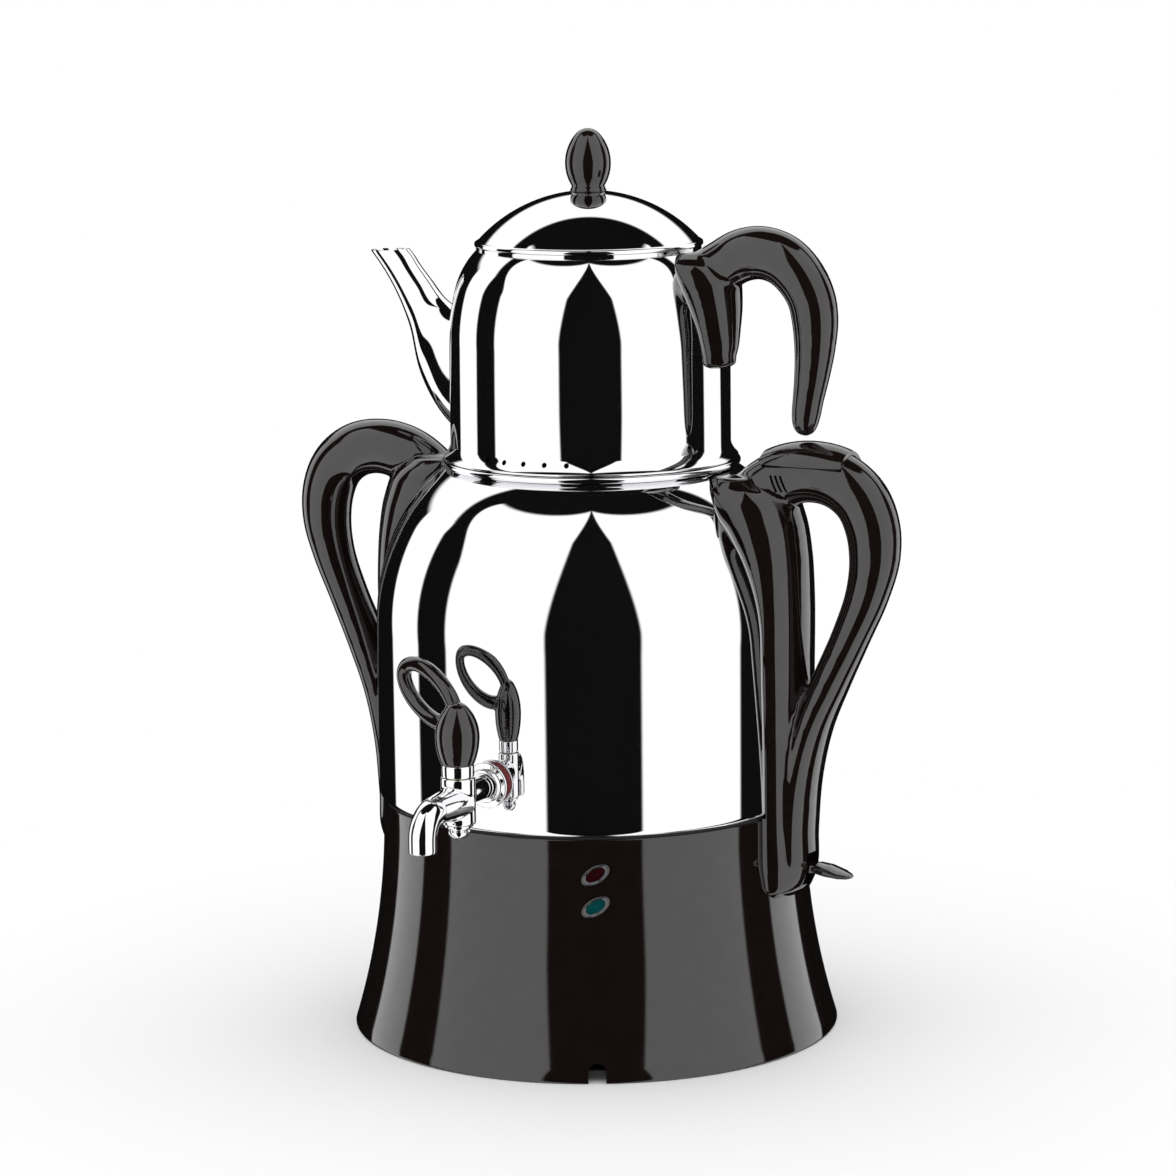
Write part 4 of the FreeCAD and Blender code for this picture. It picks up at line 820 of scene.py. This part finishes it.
def makeKey():
    axis = tap["axis"]
    at = Matrix.Translation((0, -axis, 0))
    foot, bottom = key["collar"], key["collarTop"] + key["gap"]
    lower = arcThrough(key["waist"] - bottom, key["radius"] - foot)
    rise, wide = key["top"] - key["waist"], key["radius"] - key["tip"]
    side = (key["radius"] ** 2 + (rise - key["tip"]) ** 2 - key["tip"] ** 2) / (2 * wide)
    reach = (side - key["radius"]) / (side - key["tip"]) * side - (side - key["radius"])
    lift = key["waist"] + (rise - key["tip"]) / (side - key["tip"]) * side
    body = lathe([(0, bottom), (foot, bottom), (key["radius"], key["waist"], lower),
                  (reach, lift, side), (0, key["top"], key["tip"])], sides=96, closed=False,
                 matrix=at)
    turn, tilt = radians(key["ringTurn"]), radians(key["ringTilt"])
    out = Vector((-cos(turn), sin(turn), 0))
    up = Vector((0, 0, 1))
    long = out * cos(tilt) + up * sin(tilt)
    short = up * cos(tilt) - out * sin(tilt)
    centre = Vector((0, -axis, key["ringHeight"])) + out * key["ringPlace"]
    frames = []
    for step in range(key["ringSteps"] + 1):
        angle = 2 * pi * step / key["ringSteps"]
        spot = centre + long * key["ringLong"] * cos(angle) + short * key["ringShort"] * sin(angle)
        along = (short * key["ringShort"] * cos(angle) - long * key["ringLong"] * sin(angle))
        along.normalize()
        level = long.cross(short)
        frames.append(stationOf(spot, along.cross(level) * key["ringTube"],
                                level * key["ringTube"], along))
    hoop = bmesh.new()
    loft(hoop, frames, sides=24, capped=False)
    bmesh.ops.remove_doubles(hoop, verts=hoop.verts, dist=0.001)
    bmesh.ops.recalc_face_normals(hoop, faces=hoop.faces)
    lever = objectOf("tapLever", together(body, hoop))
    fused(lever, key["voxel"], key["soften"])
    finishPiece(lever, looks["gloss_black"], "tap_key", ["tap_lever"], crease=60)
    bore, edge, top = key["bore"], key["edge"], key["collarTop"]
    low = tap["high"] + key["seat"]
    collar = lathe([(bore, low), (foot - edge, low), (foot, low + edge, edge), (foot, top - edge),
                    (foot - edge, top, edge), (bore, top)], sides=96, matrix=at, arcSteps=6)
    finishPiece(objectOf("tapCollar", collar), looks["tap_chrome"], "tap_key",
                ["tap_collar"])
    nut = lathe(key["nutRows"], sides=72, closed=False, matrix=at, arcSteps=8)
    finishPiece(objectOf("tapCapNut", nut), looks["tap_chrome"], "tap_key",
                ["tap_cap_nut"])


makeTap()
makeFlange()
makeKey()
print("tap is ready")


# ---- teapot
pot = {"radius": 64.5, "wall": 1, "flange": 68, "fillet": 5.5, "shoulder": 320,
       "shoulderArc": 95, "shoulderTurn": 15.26, "crownArc": 38, "neck": 51.5, "lip": 1.7,
       "bore": 60.3, "flangeIn": 0.3, "flangeArc": 0.55, "vent": 1.15, "ventLift": 3.6,
       "ventStep": 9, "vents": 5, "ventFrom": 58, "ventTo": 72, "under": 5}
strainer = {"hole": 2, "pitch": 7, "rows": 5, "columns": 3, "height": 303, "from": 58, "to": 70}
spout = {"root": 64.5, "reach": 114, "mouth": 18, "low": 268, "high": 330, "top": 358,
         "half": 15, "wall": 0.9,
         "rows": ((-0.12, 0.0, -0.25, 0.0, 1.25), (0.23, 0.167, 0.16, 0.04, 1.0),
                  (0.435, 0.345, 0.4, 0.19, 0.76), (0.565, 0.6, 0.64, 0.5, 0.54),
                  (0.737, 0.8, 0.825, 0.75, 0.43), (0.87, 0.91, 0.92, 0.9, 0.39),
                  (1.0, 1.0, 1.0, 1.0, 0.38))}
hook = {
    "wall": 64.5, "crest": 375, "reach": 124, "grip": 10.6, "tip": 281.3, "foot": 310,
    "proud": 11.5, "half": 17,
    "rows": ((-0.2, 0.84, 1.0), (0.08, 0.925, 1.1), (0.26, 0.98, 1.13), (0.45, 1.0, 1.13),
             (0.68, 0.965, 1.11), (0.86, 0.87, 1.07), (0.97, 0.75, 1.02), (1.0, 0.65, 0.99),
             (1.0, 0.5, 0.88), (0.97, 0.34, 0.76), (0.93, 0.2, 0.66), (0.905, 0.1, 0.6),
             (0.895, 0.055, 0.52), (0.885, 0.022, 0.36), (0.88, 0.006, 0.17)),
    "shieldRows": ((0.0, -3, 0.3, 0.3), (0.02, -3, 0.62, 0.42), (0.1, -3, 0.8, 0.52),
                   (0.35, -3, 0.97, 0.75), (0.6, -4, 1.0, 0.95), (0.8, -8, 0.85, 1.05),
                   (0.92, -12, 0.4, 0.95), (0.99, -14, -0.2, 0.6)),
    "voxel": 0.9, "soften": 12,
}


def makeTeapot():
    wall, bottom, fillet = pot["wall"], teapotBottom, pot["fillet"]
    flat = pot["flange"] - pot["flangeIn"]
    outer = crownOf(pot)
    inner = backwards(crownOf(pot, -wall))
    top = outer[-1][1] + pot["lip"]
    bm = lathe([
        (pot["bore"], bottom), (flat, bottom), (flat, bottom + wall, pot["flangeArc"]),
        (pot["radius"], bottom + wall + fillet, -2 * fillet)] + outer + [
        (pot["neck"], top), (pot["neck"] - wall, top)] + inner + [
        (pot["radius"] - wall, bottom + wall), (pot["bore"], bottom + wall)], sides=256,
        arcSteps=28)
    shell = objectOf("teapotShell", bm)
    holes = []
    for number in range(pot["vents"]):
        angle = radians((number - (pot["vents"] - 1) / 2) * pot["ventStep"])
        far = Vector((sin(angle), -cos(angle), 0))
        height = Vector((0, 0, bottom + wall + pot["ventLift"]))
        holes.append(pegOf(far * pot["ventFrom"] + height, far * pot["ventTo"] + height,
                           pot["vent"], 20))
    for line in range(strainer["rows"]):
        for spot in range(strainer["columns"]):
            across = (spot - (strainer["columns"] - 1) / 2) * strainer["pitch"]
            height = strainer["height"] + (line - (strainer["rows"] - 1) / 2) * strainer["pitch"]
            holes.append(pegOf((-strainer["from"], across, height),
                               (-strainer["to"], across, height), strainer["hole"], 20))
    carve(shell, together(*holes))
    finishPiece(shell, looks["mirror_steel"], "teapot", ["teapot_shell"])
    return top


def potTool(offset=0.2):
    crown = crownOf(pot, offset)
    low = teapotBottom - pot["under"]
    return lathe([(0, low), (pot["radius"] + offset, low)] + crown + [(0, crown[-1][1])],
                 sides=256, closed=False)


def makeSpout():
    reach, back = spout["reach"] - spout["root"], spout["reach"] - spout["mouth"] - spout["root"]
    frames = []
    pairs = []
    for lowOut, lowUp, highOut, highUp, wide in spout["rows"]:
        pairs.append((-(spout["root"] + lowOut * reach),
                      spout["low"] + lowUp * (spout["top"] - spout["low"]),
                      -(spout["root"] + highOut * back),
                      spout["high"] + highUp * (spout["top"] - spout["high"]),
                      wide * spout["half"]))
    for lowX, lowZ, highX, highZ, half in smoothRows([Vector(row) for row in pairs], 6):
        across = Vector((highX - lowX, 0, highZ - lowZ)) / 2
        along = Vector((-across.z, 0, across.x)).normalized()
        frames.append(stationOf(((lowX + highX) / 2, 0, (lowZ + highZ) / 2), across,
                                Vector((0, half, 0)), along))
    bm = bmesh.new()
    loft(bm, frames, sides=64, capped=False)
    skin = objectOf("teapotSpout", bm)
    wall = skin.modifiers.new("wall", "SOLIDIFY")
    wall.thickness = spout["wall"] * 0.001
    wall.offset = -1
    settle(skin)
    carve(skin, potTool())
    finishPiece(skin, looks["mirror_steel"], "teapot", ["teapot_spout"],
                crease=50)


def makeHook():
    reach = hook["reach"] - hook["wall"] - hook["grip"]
    top = hook["crest"] - hook["grip"] * 1.13
    rows = [(hook["wall"] + out * reach, hook["tip"] + up * (top - hook["tip"]),
             thick * hook["grip"], thick * hook["grip"]) for out, up, thick in hook["rows"]]
    bar = bmesh.new()
    loft(bar, barFrames(smoothRows(rows, 5)), sides=48)
    rows = [(hook["foot"] + up * (top - hook["foot"]), hook["wall"] + centre,
             hook["wall"] + face * hook["proud"], wide * hook["half"])
            for up, centre, face, wide in hook["shieldRows"]]
    shield = bmesh.new()
    loft(shield, columnFrames(smoothRows(rows, 4)), sides=64)
    handle = objectOf("teapotHandle", together(bar, shield))
    fused(handle, hook["voxel"], hook["soften"])
    carve(handle, potTool())
    finishPiece(handle, seamBlack, "teapot", ["teapot_handle"])


mouthTop = makeTeapot()
makeSpout()
makeHook()
print("teapot is ready, mouth", round(mouthTop, 3))


# ---- lid
lid = {"radius": 52.3, "rim": 1.5, "edge": 50.9, "rise": 22.5, "wall": 0.8, "spigot": 49.7,
       "deep": 5.7, "hole": 2.2, "gap": 0.3, "round": 0.5, "bevel": 0.8, "bevelArc": 1.8}
knob = {"radius": 10.45, "top": 416.7, "waist": 401, "tip": 7.2, "neck": 7.5,
        "neckHeight": 390.6, "foot": 8.3, "sink": 0.4, "footIn": 0.5, "footUp": 0.2,
        "footArc": 0.6}


def makeLid():
    seat = mouthTop + lid["gap"]
    edge = seat + lid["rim"] + lid["bevel"]
    arc = (lid["edge"] ** 2 + lid["rise"] ** 2) / (2 * lid["rise"])
    centre = edge + lid["rise"] - arc
    inner = arc - lid["wall"]
    spigot = lid["spigot"] - lid["wall"]

    def domeAt(radius, ball):
        return centre + sqrt(ball ** 2 - radius ** 2)

    dome = lathe([
        (spigot, seat - lid["deep"]), (lid["spigot"], seat - lid["deep"]), (lid["spigot"], seat),
        (lid["radius"] - lid["round"], seat), (lid["radius"], seat + lid["round"], lid["round"]),
        (lid["radius"], seat + lid["rim"]), (lid["edge"], edge, lid["bevelArc"]),
        (lid["hole"], domeAt(lid["hole"], arc), arc),
        (lid["hole"], domeAt(lid["hole"], inner)), (spigot, domeAt(spigot, inner), -inner)],
        sides=256, arcSteps=40)
    finishPiece(objectOf("lidDome", dome), looks["mirror_steel"], "lid",
                ["lid_dome"])
    top = centre + arc
    rise, wide = knob["top"] - knob["waist"], knob["radius"] - knob["tip"]
    side = (knob["radius"] ** 2 + (rise - knob["tip"]) ** 2 - knob["tip"] ** 2) / (2 * wide)
    reach = (side - knob["radius"]) / (side - knob["tip"]) * side - (side - knob["radius"])
    lift = knob["waist"] + (rise - knob["tip"]) / (side - knob["tip"]) * side
    drop = knob["neckHeight"] - top
    footArc = arcThrough(drop, knob["foot"] - knob["neck"])
    lower = arcThrough(knob["waist"] - knob["neckHeight"], knob["radius"] - knob["neck"])
    low = top - knob["sink"]
    ball = lathe([(0, low), (knob["foot"] - knob["footIn"], low),
                  (knob["foot"], top + knob["footUp"], knob["footArc"]),
                  (knob["neck"], knob["neckHeight"], -footArc * 2),
                  (knob["radius"], knob["waist"], lower), (reach, lift, side),
                  (0, knob["top"], knob["tip"])], sides=128, closed=False)
    finishPiece(objectOf("lidKnob", ball), looks["gloss_black"], "lid",
                ["lid_knob"])


makeLid()
print("lid is ready")

# ---- the frame's own nodes that stay
for row in frame["record"]["subparts"]:
    node = frame["nodes"].get(row["node"])
    if node:
        node.data.materials.clear()
        node.data.materials.append(looks[row["material_slot"]])
